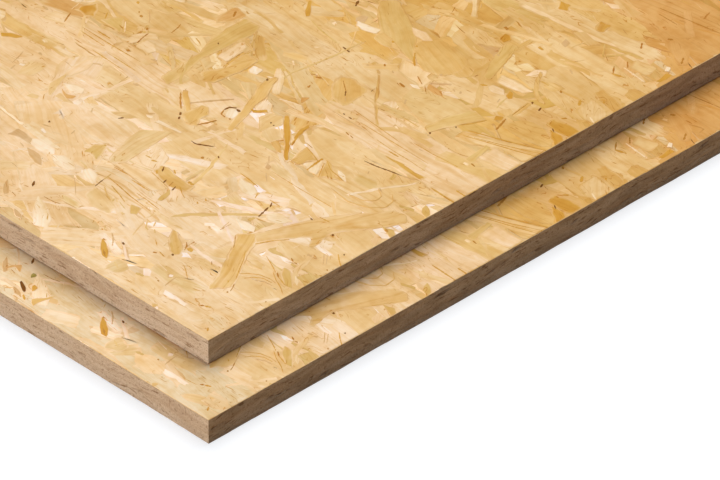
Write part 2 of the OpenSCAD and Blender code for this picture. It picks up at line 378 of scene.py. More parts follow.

# Thin marks that the photograph shows, by tone: width and points along the mark. The dark bark and rust marks
# are partly resin and partly painted shade in gaps between strands
SHOWN_MARKS = {
    "bark": (
        (1.5, (-74, 120), (-72.5, 115), (-71, 109)), (1.5, (-79, 45.7), (-77.4, 44.4)),
        (1.6, (-108.5, 32.5), (-105.5, 31)), (1.2, (-7.5, 119), (-6.3, 118)),
        (1.6, (-192, 38), (-190.5, 36), (-188.7, 33.3)), (1.4, (-232.5, 88), (-231, 86.5)),
        (1.0, (-164, 69), (-163.5, 65), (-162.5, 60.5)), (1.3, (-148.5, 104.3), (-145.5, 100)),
        (1.1, (-137.5, 96), (-136.3, 92)), (1.2, (-128.3, 95), (-127, 90.5)),
        (1.1, (-69, 195.3), (-60, 196.5), (-50, 199), (-42, 200.5)), (1.6, (-48, 130.2), (-45.8, 130)),
        (1.7, (-27, 128.6), (-25.6, 127)), (1.2, (-76, 125), (-73.5, 121)),
        (0.9, (-114, 221.3), (-112, 220.8)), (0.9, (-109, 221), (-106, 220.7)),
        (1.3, (-167, 172), (-166.7, 176), (-163, 178.7)), (2.2, (-162, 177.7), (-158.3, 177.3)),
        (1.7, (-183.5, 151.2), (-181.5, 149)), (1.7, (-180.5, 147.5), (-179, 145.3)),
        (1.3, (-157, 135), (-153, 134.5), (-147, 138), (-143, 140.5)),
        (1.2, (-137.6, 183.2), (-136.4, 182)), (1.1, (-134.4, 182.4), (-133.4, 181.4)),
        (1.5, (-173, 214), (-171, 212)), (1.3, (-205, 119.5), (-203.3, 122.5)),
        (1.0, (-134, 135.5), (-132, 134.3)), (1.2, (-222, 219.3), (-220.4, 218)),
        (1.1, (-130, 239), (-126.5, 235)), (1.5, (-165.5, 270.8), (-158.5, 269.8)),
        (1.9, (-195, 313), (-192, 307.3)), (1.3, (-56.3, 260.6), (-55.2, 259.6)),
        (1.5, (-63, 245), (-61.6, 243.8)), (1.0, (-14, 301), (-10.3, 298.7)),
        (1.4, (-42.8, 312.5), (-41, 310.5)), (1.3, (-34.7, 311.8), (-33.2, 308.3)),
    ),
    "rust": (
        (1.0, (-82, 60), (-79, 57.5), (-76.5, 53)), (1.6, (-88.5, 38.5), (-86, 39.5)),
        (0.6, (-57, 57), (-54.3, 54.5)), (1.2, (-65.5, 20.8), (-63.8, 20.1)),
        (1.6, (-29.5, 21), (-27, 22.5)), (1.5, (-111, 19), (-105, 15)),
        (0.8, (-66.5, 85.5), (-62, 81), (-58, 76)), (0.8, (-31, 51), (-28.5, 47), (-27, 43.5)),
        (1.3, (-28.3, 42.6), (-27, 41.4)), (1.2, (-26.5, 93.5), (-23, 91.8)),
        (1.0, (-22, 91.5), (-19.5, 92)), (1.4, (-21.5, 77), (-17.5, 74.3)), (1.2, (-5, 52), (-4, 51)),
        (1.2, (-3.3, 100.8), (-2, 99.8)), (0.6, (-176, 31), (-168, 31.5), (-163, 33)),
        (0.9, (-133, 97.5), (-131.5, 92)), (0.5, (-193, 20.5), (-188, 19.5)),
        (1.0, (-98.5, 208.5), (-95, 207.7)), (0.9, (-94, 208), (-90.5, 207)),
        (1.0, (-22, 239.7), (-18, 239)), (1.1, (-167, 172), (-165, 167.5), (-161, 167)),
        (1.1, (-158, 167.8), (-156.8, 167.2)), (1.5, (-199, 166), (-193, 160), (-186, 154)),
        (1.2, (-162, 161), (-164, 155), (-167, 149)), (2.0, (-140.5, 127.8), (-138, 127.2)),
        (1.6, (-154, 236.3), (-150, 238.2)), (1.6, (-149.7, 228), (-148.8, 225)),
        (0.8, (-139, 245.5), (-130, 239)), (1.8, (-134.5, 276.3), (-132.3, 274.4)),
        (2.0, (-239, 250.5), (-235.5, 245)), (1.2, (-280.5, 208), (-279, 206.5)),
        (2.0, (-277, 205.5), (-274.3, 204.7)), (1.0, (-252.5, 216.7), (-251, 213), (-249.5, 206)),
        (1.8, (-264, 199.2), (-262, 197)), (1.1, (-259, 196), (-258, 190), (-256.3, 183.5)),
        (1.2, (-308.5, 176.5), (-306, 171), (-304, 167)), (0.9, (-43.3, 309.5), (-42, 300), (-41, 293)),
        (1.6, (-41, 288), (-39, 282), (-37, 275.5)), (0.9, (-111, 281.5), (-103, 277.5)),
        (0.7, (-100, 277), (-95, 273)), (2.2, (-113.5, 268.6), (-108, 267.5)),
        (1.5, (-39.5, 333.3), (-37, 331.5)), (2.6, (-112, 357.3), (-108.5, 356.5)),
        (2.4, (-33, 419.3), (-30, 421.3)), (1.8, (-12, 412), (-8, 406)), (1.4, (-41, 405.3), (-37, 400.3)),
        (1.2, (-35, 375), (-30, 369)), (1.2, (-33, 384.5), (-28.3, 380)),
        (0.8, (-60, 440), (-40, 443), (-15, 447)), (0.8, (-56, 435), (-40, 434.7)),
    ),
    "amber": (
        (1.2, (-107, 99.5), (-104.5, 97.5)), (0.9, (-108, 93.5), (-106, 92)),
        (0.7, (-120, 92.5), (-115.5, 90.5)), (0.8, (-86, 41.5), (-80, 40)), (0.7, (-97, 48.5), (-91, 44.5)),
        (0.5, (-66, 41), (-63, 44), (-59.5, 43)), (0.6, (-66, 42.5), (-61, 39.5), (-53.5, 34)),
        (0.5, (-58, 48.5), (-54, 47)), (1.8, (-27, 22.5), (-23, 24.3)), (0.5, (-40, 18.5), (-30, 19.5)),
        (0.5, (-18, 30.5), (-11, 31.5)), (0.8, (-51, 79), (-45, 72), (-40, 64), (-34, 55)),
        (1.3, (-36, 50.6), (-34.3, 49)), (0.9, (-52, 88), (-47, 98), (-41, 106)),
        (0.6, (-36.5, 60), (-33, 64), (-27, 68), (-20, 69.5), (-14, 69)),
        (0.6, (-31, 59), (-28, 63.5), (-23, 67), (-16, 67.5)), (0.8, (-38, 84), (-30, 80.5), (-22, 76.5)),
        (0.8, (-18, 74.5), (-9, 71.5)), (0.6, (-24, 76), (-17, 71.5), (-9, 68), (-3, 64)),
        (0.9, (-10, 116.5), (-5, 112.5), (0, 109)), (1.5, (-9.5, 9), (-7, 6)),
        (1.2, (-165, 104.5), (-160, 105)), (1.6, (-159, 103.5), (-155, 105)), (1.6, (-149, 99), (-146, 96)),
        (1.2, (-142, 106.5), (-138, 104)), (0.9, (-127, 97), (-120, 92.5)),
        (2.5, (-127, 104), (-122, 103.5)), (0.6, (-150, 95), (-140, 93), (-131, 91)),
        (0.6, (-169, 82.5), (-158, 83)), (0.8, (-152, 81), (-136, 80.5)),
        (0.9, (-165, 73), (-150, 70.5), (-140, 68.5), (-120, 66.5)),
        (0.9, (-156, 68), (-146, 65), (-138, 62)), (0.8, (-140, 73.5), (-130, 73), (-118, 71.5)),
        (0.8, (-160, 19), (-157, 16)), (2.2, (-88, 179), (-87, 171), (-86, 164)),
        (0.9, (-104, 180.5), (-96, 178), (-88, 175)), (0.8, (-85, 179.5), (-76, 174), (-62, 171.5)),
        (0.8, (-84, 176.5), (-80, 170), (-76, 164)), (1.0, (-112, 132.7), (-105, 132.2), (-94, 130.5)),
        (1.2, (-45, 135), (-37, 135.6)), (0.9, (-89, 126), (-86.5, 121)), (1.0, (-79, 126), (-70, 125.7)),
        (0.6, (-100, 147.5), (-75, 147), (-48, 147.5)),
        (0.7, (-80, 216.3), (-65, 215.2), (-50, 215), (-35, 214)),
        (0.6, (-100, 222), (-70, 221.5), (-40, 221)), (0.6, (-112, 228.5), (-90, 226.5), (-68, 224.5)),
        (0.6, (-62, 230), (-45, 230), (-25, 231.5)), (1.2, (-21, 204.5), (-10, 204), (0, 203.5)),
        (1.4, (-66, 213), (-57, 213)), (1.4, (-8, 213.3), (0, 213)),
        (1.6, (-130, 298), (-125, 292), (-120, 288)), (2.0, (-149.3, 297.4), (-147, 296)),
        (1.8, (-135.3, 304.3), (-133.3, 303)), (2.4, (-289, 214.8), (-286.7, 213)),
        (1.2, (-293, 193), (-289, 187)), (0.9, (-292, 171), (-265, 170.5), (-240, 170.7)),
        (1.2, (-283, 175), (-271, 174.8)), (0.8, (-290, 167.6), (-268, 166.5)),
        (0.8, (-270, 158.7), (-240, 157)), (0.7, (-262, 163), (-235, 162)),
        (0.9, (-55, 264), (-51, 271), (-48, 278.5)), (1.0, (-48, 263), (-35, 267.5), (-18, 274), (0, 282)),
        (1.0, (-46, 257), (-30, 262.5), (-12, 268.5), (0, 273)), (0.7, (-40, 260), (-22, 267), (0, 277)),
        (2.4, (-78, 302.5), (-74, 305)), (1.3, (-12.8, 343.8), (-10.8, 342)),
        (2.4, (-82, 356.8), (-77.5, 356.3)), (2.2, (-24, 335), (-20, 329.7)),
        (1.6, (-18, 312.5), (-15.5, 315)), (1.8, (-30, 368.7), (-22, 371)),
    ),
    "olive": (
        (3.0, (-72, 107), (-72.5, 102)), (1.0, (-110, 61), (-107.5, 57)),
        (1.0, (-114, 58), (-110, 53), (-107, 52)), (0.8, (-105, 55.5), (-102, 53)),
        (1.2, (-97, 15), (-91, 12.3)), (2.6, (-80, 16.5), (-74, 17.5)), (2.2, (-1.8, 52), (0, 50.5)),
        (1.2, (-165, 76), (-164, 69)), (1.2, (-145, 60), (-143.5, 57)), (0.8, (-141, 60), (-132, 57)),
        (0.8, (-134, 38.5), (-130, 37)), (0.8, (-128, 37), (-125.5, 33)),
        (1.6, (-161, 283), (-162, 262), (-165, 240), (-167, 229), (-166, 221)),
        (1.6, (-200, 277), (-185, 273), (-170, 271)), (1.3, (-56.5, 304), (-55, 297), (-53, 292)),
        (0.9, (-115, 244.3), (-95, 244.8), (-72, 244)), (2.0, (-47, 378), (-37, 392)),
        (1.6, (-56, 388), (-46, 376)),
    ),
    "tan": (
        (0.8, (-79.5, 93), (-77.5, 85)), (1.8, (-84.8, 81), (-82.3, 80)),
        (1.0, (-60, 31), (-59.3, 25), (-58.3, 20)), (1.2, (-120, 34.5), (-115, 31), (-110, 25.5)),
        (0.6, (-25, 62), (-20, 65), (-14, 65.5)), (1.8, (-22.5, 102.7), (-19, 103.5)),
        (1.8, (-18, 103), (-15.2, 104)), (0.7, (-16, 110.5), (-11, 105.5), (-8, 102)),
        (0.7, (-13.5, 111), (-7, 103.5)), (0.7, (-178, 58), (-172, 53), (-164, 46)),
        (1.0, (-228, 59.5), (-223, 58)), (1.2, (-224, 116), (-221, 112)), (1.0, (-233, 82), (-227, 84)),
        (0.8, (-214, 92), (-213, 88)), (1.0, (-42, 200.5), (-33, 203)), (1.0, (-42, 182), (-38, 180)),
        (0.8, (-113, 158), (-107, 152)), (0.8, (-101, 144), (-94, 138)),
        (0.8, (-120, 218.3), (-105, 218.2), (-90, 218)), (1.2, (-59, 189.7), (-57.5, 187.3)),
        (0.7, (-146, 143.5), (-142.5, 140.5)), (1.6, (-187, 161.5), (-180, 172), (-171, 184)),
        (1.4, (-137, 209), (-133, 206)), (2.4, (-237.5, 177), (-233.5, 178.7)),
        (2.4, (-226, 151.3), (-222, 152.8)), (1.2, (-213, 152.3), (-211, 152)),
        (1.2, (-136, 129.8), (-133, 128.3)), (1.8, (-197, 135), (-193, 139)),
        (1.2, (-202.5, 230.7), (-200, 229)), (0.8, (-126, 235), (-122, 231)),
        (1.2, (-126, 274.6), (-123.5, 273)), (1.6, (-151.5, 259.5), (-150.5, 258)),
        (1.5, (-141.5, 268.5), (-140, 267.5)), (0.8, (-277, 213), (-270, 207), (-266.5, 203)),
        (2.4, (-326, 169.3), (-320.5, 168.7)), (1.4, (-259, 148.7), (-255.5, 151), (-252.5, 151)),
        (1.8, (-290.5, 133.2), (-287, 132.4)), (0.9, (-298, 127), (-296, 122), (-294, 115)),
        (1.4, (-290.5, 113), (-289.7, 109)), (2.2, (-101, 281.5), (-95, 286), (-90, 290)),
        (1.5, (-86.3, 287.5), (-83.3, 286)), (1.6, (-81, 289), (-79.5, 286.8)),
        (2.0, (-103, 293.5), (-101, 292)), (1.5, (-61.6, 339), (-60, 337.4)),
        (1.9, (-93.8, 333.3), (-91.8, 332.2)), (1.4, (-51.5, 353.3), (-47, 351)),
        (1.2, (-58.7, 300.5), (-57.3, 296.5)), (1.6, (-98, 259), (-95, 255)),
        (1.6, (-90, 420.5), (-86.5, 418)),
    ),
    "honey": (
        (3.5, (-49, 0.5), (-47, 3.5)), (1.2, (-158, 64), (-152, 60), (-145, 57)),
        (0.9, (-62, 161), (-45, 158.5), (-32, 163), (-25, 170), (-26, 178), (-32, 183)),
        (0.9, (-50, 164), (-40, 165.5), (-34, 171), (-35, 177), (-42, 181)),
        (2.5, (-196, 301), (-188, 296), (-180, 292)),
    ),
    "white": (
        (1.2, (-20, 92.7), (-18.6, 91.3)), (1.2, (-278, 194), (-274, 190), (-270, 186)),
        (1.4, (-30, 378.3), (-10, 376.3)), (1.5, (-7, 326), (0, 323)), (1.5, (-176, 238.5), (-172, 235.5)),
        (1.2, (-152, 204), (-145, 206.5), (-137, 208.5)),
    ),
}

# Steps of an even strewing, as shares of the face
EVEN_STEPS = np.array([0.7548776662, 0.5698402910])

# Heights above the core, as shares of SKIN
SHOWN_LEVELS = (0.38, 0.444)  # strands that the photograph shows
LOWER_LEVELS = (0.45, 0.46)  # those on the lower panel alone
DRAWN_LEVELS = (0.62, 1.0)  # patches and marks
LOWER_PATCH_LEVEL = 0.985  # patches on the lower panel alone
LEAST_STEP = 0.006  # between strewn strands that may overlap

# Making of the strands that the photograph shows
SHOWN_SIDE_POINTS = 6  # points on each side
SHOWN_END_POINTS = 4  # points between the sides at each end
NARROW_END_POINTS = 1  # the same for a narrow strand
NARROW = 6  # width of the widest narrow strand, in millimetres
SHOWN_BLEND = 0.12  # share of the ground's tone
SHOWN_RIM_SHADE = 2  # strength of the painted shade along the listed rims
SHOWN_SOFT = 2.0  # softest border, in millimetres
SOFT_PER_LENGTH = 12  # the length divided by this is the softest border too

# Making of the patches and marks that the photograph shows, with lengths in millimetres
PATCH_STEP = 2.5  # step of an outline
PATCH_JITTER = 0.08  # unevenness, as a share of a step
PATCH_CUT = 0.12  # share of a side that is cut off at each corner
PATCH_SOFT = 2.0  # softest border
PATCH_SOFT_SHARE = 0.2  # softest border, as a share of the width
PATCH_FADE = 0.35  # most of the ground's tone at the faded end
MARK_STEP = 1.5  # step of a line
MARK_POINTS = 4  # least points of a line
MARK_TAPER = (0.1, 0.9)  # part of a half wave that the width follows
MARK_WIDTHS = (0.6, 1.3)  # least and most of the width, as shares
MARK_FADE = 0.35  # most of the ground's tone
DRAWN_BEVEL_SHARE = 0.1  # widest bevel, as a share of the width

# Insets that keep an outline from folding over itself
NARROWEST = 0.3  # most of the way across that an inset takes
FOLD_ROUNDS = 14  # most rounds of cutting insets down
FOLD_CUT = 0.6  # what a round leaves of an inset
LEAST_LEFT = 0.2  # least that insets leave of a side's length
LEAST_OPENING = 0.7  # limit for sharp corners
LEAST_REACH = 0.001  # least way across, in millimetres
TINY = 1e-9  # keeps divisors off 0

# Slabs of strands, with lengths in millimetres
WHOLE = 1000.0  # longer than any way across a strand
CLEAR_OF_RIM = 1.2  # least room to the rim in a patch's middle
CROWN = 0.003  # rise of a patch's middle
GRAIN_SHIFT = 3  # most that a grain map is shifted, in metres
MOST_FOLDS = 12  # most rows of a bake map

# Outlines near the shown corner, in millimetres
ROUGH_STEP = 3.0  # step of an outline
ROUGH_JITTER = 0.2  # spread of the jitter
WAVES = ((47.0, 0.9), (23.0, 0.5), (11.0, 0.3))  # length and reach of slow waves
ROUGH_LOW = (-380, -20)  # lowest place near the corner
ROUGH_HIGH = (20, 490)  # highest place near the corner

# Sides and ends of strands, as shares of a strand's width
SIDE_WAVER = 0.04  # spread of the width along a side
END_SLANT = 0.35  # spread of the slant
END_REACH = 0.4  # most slant, as a share of the step along a side
END_TEAR = 0.12  # spread of the torn points
END_WIDTHS = (1.0, 0.8, 0.4)  # widths at an end
END_CHANCES = (0.6, 0.28, 0.12)  # chances of those widths
BEVEL_SHARE = 0.25  # widest bevel
SOFT_SHARE = 0.25  # softest border

# Strewn strands and the drift of tones
STRAND_FILL = 0.85  # share of its box that a strand fills
ALONG_SHARE = 0.6  # share of strands that lie along the panel
ALONG_SPREAD = math.radians(14)  # spread of their angles
MOST_FIGURE = 0.5  # strongest figure of the grain
TONE_DRIFT = 0.035  # spread of the strewn strands' tones
SHOWN_DRIFT = 0.012  # spread of the other tones
WARM_RED = 0.3  # gain of red in a warmer tone
WARM_BLUE = 1.5  # loss of blue in a warmer tone
TONE_LIFT = 1.125  # brightness of all tones before the shades darken them

# Draws and pieces
SEED = 7  # of all random draws
BAYS = 8  # of the upper panel's face
UNDERSIDE_BAYS = 4  # of the lower panel's underside
TUCKED = 15.0  # how far a bare strip reaches between the panels, in millimetres

# Sawn edges and caps of the cores, with lengths in millimetres
EDGE_COLUMN = 5.0  # width of a column
EDGE_ROWS = 14  # rows from the foot to the top
EDGE_ROUGHNESS = 0.12  # mean depth of the roughness
EDGE_DEEPEST = 4  # deepest roughness, in mean depths
ROUGH_REACH = 6  # columns that a rough spot runs along
PIT_REACH = 2  # columns that a pit runs along
PIT_DEPTH = 0.7  # depth that a pit adds
PIT_LEVEL = 2.3  # noise above this is a pit
CAP_INSET = 2.0  # width of the frame round a cap
CAP_HALF = (1.0, 1.0, 0.001)  # half length, half width and softness, in metres
FOLD_ROWS = 17  # rows of the sides in the bake map
FOLD_GAP = 4.0  # gap between those rows

# Colours of the sawn edges as linear light, and shades that multiply them
EDGE_PALE = (0.625, 0.478, 0.338)
EDGE_MID = (0.525, 0.378, 0.252)
# The dark colour serves the specks and dashes, and the painted shade in pits
EDGE_DARK = (0.235, 0.128, 0.058)
EDGE_PATCH = (0.90, 0.86, 0.82)
EDGE_GRAIN = (0.84, 0.81, 0.78)
END_GRAIN = (0.845, 0.845, 0.825)
END_STRATA = (0.85, 0.84, 0.82)

# Shades that multiply a strand's tone
STAIN = (0.90, 0.845, 0.72)
MOTTLE = (0.955, 0.905, 0.81)
STREAK = (0.98, 0.948, 0.875)
FIBRE = (0.98, 0.95, 0.88)
FLAKE = (0.99, 0.97, 0.93)
RING = (0.90, 0.80, 0.60)
TERRACE = (0.978, 0.94, 0.87)
# Painted shade in the cracks between torn flakes
CRACK_SHADE = (0.80, 0.58, 0.28)
DASH = (0.74, 0.50, 0.16)
# Painted shade along a strand's lifted rim
RIM_SHADE = (0.68, 0.46, 0.14)

# Materials, with lengths in metres
GRAIN_WARP = 0.012  # reach of the waves in the grain
LEAST_SOFT = 0.0001  # least softness of a border
END_FRAY = 5.0  # reach of frayed ends, in softnesses
SIDE_DRIFT = 2.0  # waver of the sides, in softnesses
END_FADE = 3.0  # fade of the ends, in softnesses
LEAST_TONE = 0.15  # share of a strand's own tone at its border
TERRACES = 13.0  # levels of torn flakes in the noise
RINGS = 9.0  # growth rings in the noise
RIM_SHADE_LINE = (0.0002, 0.0009)  # room to the border where the painted shade along a rim starts and ends to fade
FACE_GLOSS = 0.04  # specular level
EDGE_GLOSS = 0.15  # specular level
FACE_RELIEF = 0.00012  # height of the bumps
EDGE_RELIEF = 0.0002  # height of the bumps
RELIEF_STRENGTH = 0.6

# Camera, from the arrises that the photograph shows
IMAGE_WIDTH = 36.0  # in millimetres
LENS = 600.0  # in millimetres
CAMERA_AZIMUTH = math.radians(45.88)
CAMERA_ELEVATION = math.radians(35.29)
CAMERA_DISTANCE = 7.17542  # in metres
CAMERA_FAR = 200  # end of the view, in metres
AIM_FROM_CORNER = Vector((-11.07, 135.69, 0.0)) * MM  # from the upper panel's near corner

# Light: the level on a surface that faces a lamp, where 1 shows a colour as it is written
AMBIENT = 0.155
AMBIENT_TINT = (0.64, 1.0, 1.54, 1)
BACK_LEVEL = 0.875
BACK_FROM = Vector((-0.31, 0.46, 1.0))
BACK_SPREAD = math.radians(56)
KEY_LEVEL = 1.02
KEY_FROM = Vector((-0.05, -0.98, 0.06))
KEY_SPREAD = math.radians(30)

# Floor: the colour that it throws back, and the pale grey and the glow that make it look white
FLOOR_REACH = 30.0  # in metres
FLOOR_BOUNCE = (0.66, 0.40, 0.15, 1)
FLOOR_GREY = (0.36, 0.36, 0.36, 1)
FLOOR_GLOW = 0.72

# One strand on a face, in millimetres, where ring is how far a patch is soft inside its bevel
Strand = namedtuple("Strand", "outline centre angle half tone level figure rim soft bevel ring")


def linear(rgb):
    """An sRGB colour of 0 to 255 as linear light."""
    share = np.asarray(rgb, float) / 255
    return np.where(share <= 0.04045, share / 12.92, ((share + 0.055) / 1.055) ** 2.4)


def ground_at(places):
    """The ground tone at places of a face in linear light, each spot's share falling off with distance."""
    spots = np.array([place for _, place in GROUND_SPOTS], float)
    tones = np.array([linear(TONES[name]) for name, _ in GROUND_SPOTS])
    gaps = ((np.reshape(places, (-1, 1, 2)) - spots) ** 2).sum(-1)
    shares = (gaps + GROUND_BLEND ** 2) ** -2.0
    rest = GROUND_REACH ** -4.0
    total = shares.sum(1, keepdims=True) + rest
    return TONE_LIFT * (shares @ tones + rest * linear(TONES[GROUND_TONE])) / total


def strand_outline(length, width, side_points, end_points, rng):
    """A strand about its own centre, anticlockwise: wavering sides between slanted, torn or split ends."""
    along = np.linspace(-0.5, 0.5, side_points) * length
    halves = 0.5 * width * (1 + SIDE_WAVER * rng.normal(size=(2, side_points)))
    halves[:, [0, -1]] *= rng.choice(END_WIDTHS, 2, p=END_CHANCES)
    step = length / (side_points - 1)
    tear = END_TEAR * min(width, step)
    shift = np.zeros(side_points)
    most = END_REACH * step
    shift[[0, -1]] = np.clip(rng.normal(0, END_SLANT * width / 2, 2), -most, most)
    near_side = np.stack([along - shift, -halves[0]], 1)
    far_side = np.stack([along + shift, halves[1]], 1)
    steps = np.linspace(0, 1, end_points + 2)[1:-1, None]
    head = near_side[-1] + steps * (far_side[-1] - near_side[-1])
    tail = far_side[0] + steps * (near_side[0] - far_side[0])
    head[:, 0] += rng.normal(0, tear, end_points)
    tail[:, 0] += rng.normal(0, tear, end_points)
    return np.concatenate([near_side, head, far_side[::-1], tail])


def stepped(outline, step):
    """An outline with points added so that none of its steps is much longer than that."""
    after = np.roll(outline, -1, 0)
    counts = np.maximum(1, np.linalg.norm(after - outline, axis=1) / step).astype(int)
    return np.concatenate([
        a + np.arange(count)[:, None] / count * (b - a) for a, b, count in zip(outline, after, counts)])


def roughened(outline, rng):
    """An outline in short steps, drawn aside by slow waves and by a little jitter."""
    points = stepped(outline, ROUGH_STEP)
    for length, reach in WAVES:
        for axis in (0, 1):
            turn = points[:, 1 - axis] * math.tau / length + points[:, axis] / length
            points[:, axis] += reach * np.sin(turn)
    return points + rng.normal(0, ROUGH_JITTER, points.shape)


def turned(points, angle):
    """Points of the plane turned anticlockwise."""
    c, s = math.cos(angle), math.sin(angle)
    return points @ np.array([[c, s], [-s, c]])


def clipped(outline, low, high):
    """The part of an outline inside a rectangle."""
    for axis in (0, 1):
        for sign, limit in ((1, low[axis]), (-1, -high[axis])):
            room = sign * outline[:, axis] - limit
            if (room >= 0).all():
                continue
            kept = []
            for i in range(len(outline)):
                j = (i + 1) % len(outline)
                if room[i] >= 0:
                    kept.append(outline[i])
                if (room[i] >= 0) != (room[j] >= 0):
                    share = room[i] / (room[i] - room[j])
                    kept.append(outline[i] + share * (outline[j] - outline[i]))
            if len(kept) < 3:
                return None
            outline = np.array(kept)
    steps = np.linalg.norm(outline - np.roll(outline, 1, 0), axis=1)
    outline = outline[steps > SHORTEST_STEP]
    return outline if len(outline) > 2 else None


def inward_of(outline):
    """The way inwards at each point of an anticlockwise outline, long enough to keep the sides parallel."""
    ahead = np.roll(outline, -1, 0) - outline
    ahead /= np.linalg.norm(ahead, axis=1, keepdims=True) + TINY
    inward = np.stack([-ahead[:, 1], ahead[:, 0]], 1)
    before = np.roll(inward, 1, 0)
    return (inward + before) / np.maximum(1 + (inward * before).sum(1, keepdims=True), LEAST_OPENING)


def shrunk(outline, inset):
    """An anticlockwise outline moved inwards, by one length or by one for each point."""
    return outline + np.reshape(inset, (-1, 1)) * inward_of(outline)


def across(outline):
    """How far it is from each point of an anticlockwise outline straight across to its other side."""
    way = inward_of(outline)[:, None]
    side = (np.roll(outline, -1, 0) - outline)[None]
    gap = outline[None] - outline[:, None]
    turn = way[..., 0] * side[..., 1] - way[..., 1] * side[..., 0]
    turn = np.where(np.abs(turn) < TINY, TINY, turn)
    reach = (gap[..., 0] * side[..., 1] - gap[..., 1] * side[..., 0]) / turn
    share = (gap[..., 0] * way[..., 1] - gap[..., 1] * way[..., 0]) / turn
    met = (reach > LEAST_REACH) & (share >= 0) & (share <= 1)
    return np.where(met, reach, WHOLE).min(1)


def sound_inset(outline, inset):
    """Insets for an outline's points, cut down where the outline is narrow or would fold over itself."""
    insets = np.minimum(inset, NARROWEST * across(outline))
    sides = np.roll(outline, -1, 0) - outline
    for _ in range(FOLD_ROUNDS):
        moved = shrunk(outline, insets)
        left = ((np.roll(moved, -1, 0) - moved) * sides).sum(1) / (sides ** 2).sum(1)
        folded = left < LEAST_LEFT
        if not folded.any():
            break
        insets[folded | np.roll(folded, 1)] *= FOLD_CUT
    return insets


def area_of(outline):
    """The area inside an outline, below 0 for a clockwise one."""
    after = np.roll(outline, -1, 0)
    return (outline[:, 0] * after[:, 1] - after[:, 0] * outline[:, 1]).sum() / 2


def tone_of(name, rng, drift):
    """A named tone in linear light, a little lighter or darker and a little warmer or cooler."""
    lighter, warmer = rng.normal(0, drift, 2)
    warmth = np.array([1 + WARM_RED * warmer, 1.0, 1 - WARM_BLUE * warmer])
    return linear(TONES[name]) * (TONE_LIFT + lighter) * warmth


def faded(tone, places, fade):
    """A tone taken some way to the ground's at each place, as a thin layer of it would look."""
    return tone ** (1 - fade) * ground_at(places) ** fade


def scattered(size, kinds, rng):
    """Strands strewn over a face of that length and width, in millimetres."""
    strands = []
    for kind in kinds:
        mean_area = np.mean(kind.lengths) * np.mean(kind.widths) * STRAND_FILL
        names = list(kind.tones)
        shares = np.array(list(kind.tones.values()))
        start = rng.random(2)
        for k in range(int(kind.cover * size[0] * size[1] / mean_area)):
            spot = (EVEN_STEPS * k + start) % 1
            centre = spot * size * (-1, 1)
            shown = (centre > ROUGH_LOW).all() and (centre < ROUGH_HIGH).all()
            if not shown and rng.random() > kind.far:
                continue
            length = rng.uniform(*kind.lengths)
            width = rng.uniform(*kind.widths)
            astray = rng.random() > ALONG_SHARE
            angle = rng.uniform(-math.pi / 2, math.pi / 2) if astray else rng.normal(0, ALONG_SPREAD)
            outline = strand_outline(length, width, kind.side_points, kind.end_points, rng)
            name = rng.choice(names, p=shares / shares.sum())
            contrast = tone_of(name, rng, TONE_DRIFT) / (TONE_LIFT * linear(TONES[GROUND_TONE]))
            tone = ground_at(centre)[0] * contrast ** kind.strength
            strands.append(Strand(
                turned(outline, angle) + centre, centre, angle, (length / 2, width / 2), tone,
                rng.uniform(*kind.levels), MOST_FIGURE * rng.random() ** 3, kind.rims * rng.random() ** 2,
                min(kind.soft, SOFT_SHARE * width), min(BEVEL, BEVEL_SHARE * width), 0.0))
    return parted(strands)


def parted(strands):
    """Strands from the lowest to the highest, each at least LEAST_STEP above those that it may overlap."""
    strands = sorted(strands, key=lambda s: s.level)
    lows = np.array([strand.outline.min(0) for strand in strands])
    highs = np.array([strand.outline.max(0) for strand in strands])
    levels = np.array([strand.level for strand in strands])
    for k in range(1, len(strands)):
        below = (lows[:k] < highs[k]).all(1) & (highs[:k] > lows[k]).all(1)
        levels[k] = max(levels[k], levels[:k][below].max(initial=0.0) + LEAST_STEP)
    return [strand._replace(level=level) for strand, level in zip(strands, levels)]


def patch_outline(corners, rng):
    """A patch's outline, anticlockwise, its corners cut off and its sides a little uneven."""
    points = np.array(corners, float)
    if area_of(points) < 0:
        points = points[::-1]
    after = np.roll(points, -1, 0)
    cuts = [(1 - PATCH_CUT) * points + PATCH_CUT * after, PATCH_CUT * points + (1 - PATCH_CUT) * after]
    points = stepped(np.stack(cuts, 1).reshape(-1, 2), PATCH_STEP)
    steps = np.linalg.norm(np.roll(points, -1, 0) - points, axis=1)
    shortest = np.minimum(steps, np.roll(steps, 1))[:, None]
    return points + PATCH_JITTER * shortest * rng.normal(size=points.shape)


def mark_outline(bends, width, rng):
    """A mark's outline, anticlockwise, uneven in width and drawn out thin at both ends."""
    bends = np.array(bends, float)
    reach = np.append(0, np.cumsum(np.linalg.norm(np.diff(bends, axis=0), axis=1)))
    places = np.linspace(0, reach[-1], int(reach[-1] / MARK_STEP) + MARK_POINTS)
    line = np.stack([np.interp(places, reach, bends[:, axis]) for axis in (0, 1)], 1)
    ahead = np.gradient(line, axis=0)
    ahead /= np.linalg.norm(ahead, axis=1, keepdims=True)
    aside = np.stack([-ahead[:, 1], ahead[:, 0]], 1)
    swell = np.sqrt(np.sin(np.linspace(*MARK_TAPER, len(line)) * math.pi))
    halves = (0.5 * width * swell * rng.uniform(*MARK_WIDTHS, len(line)))[:, None]
    return np.concatenate([line - aside * halves, (line + aside * halves)[::-1]])


def drawn(outline, tone, figure, rim, soft_share):
    """A strand with a drawn outline and its grain along the outline's longest way. Its border is as soft as
    that share of its width, up to PATCH_SOFT."""
    centre = outline.mean(0)
    along = np.linalg.svd(outline - centre, full_matrices=False)[2][0]
    angle = math.atan2(along[1], along[0])
    width = area_of(outline) / np.ptp(outline @ along)
    soft = min(PATCH_SOFT, soft_share * width)
    bevel = min(BEVEL, DRAWN_BEVEL_SHARE * width)
    return Strand(outline, centre, angle, (WHOLE, WHOLE), tone, 0.0, figure, rim, soft, bevel, soft)


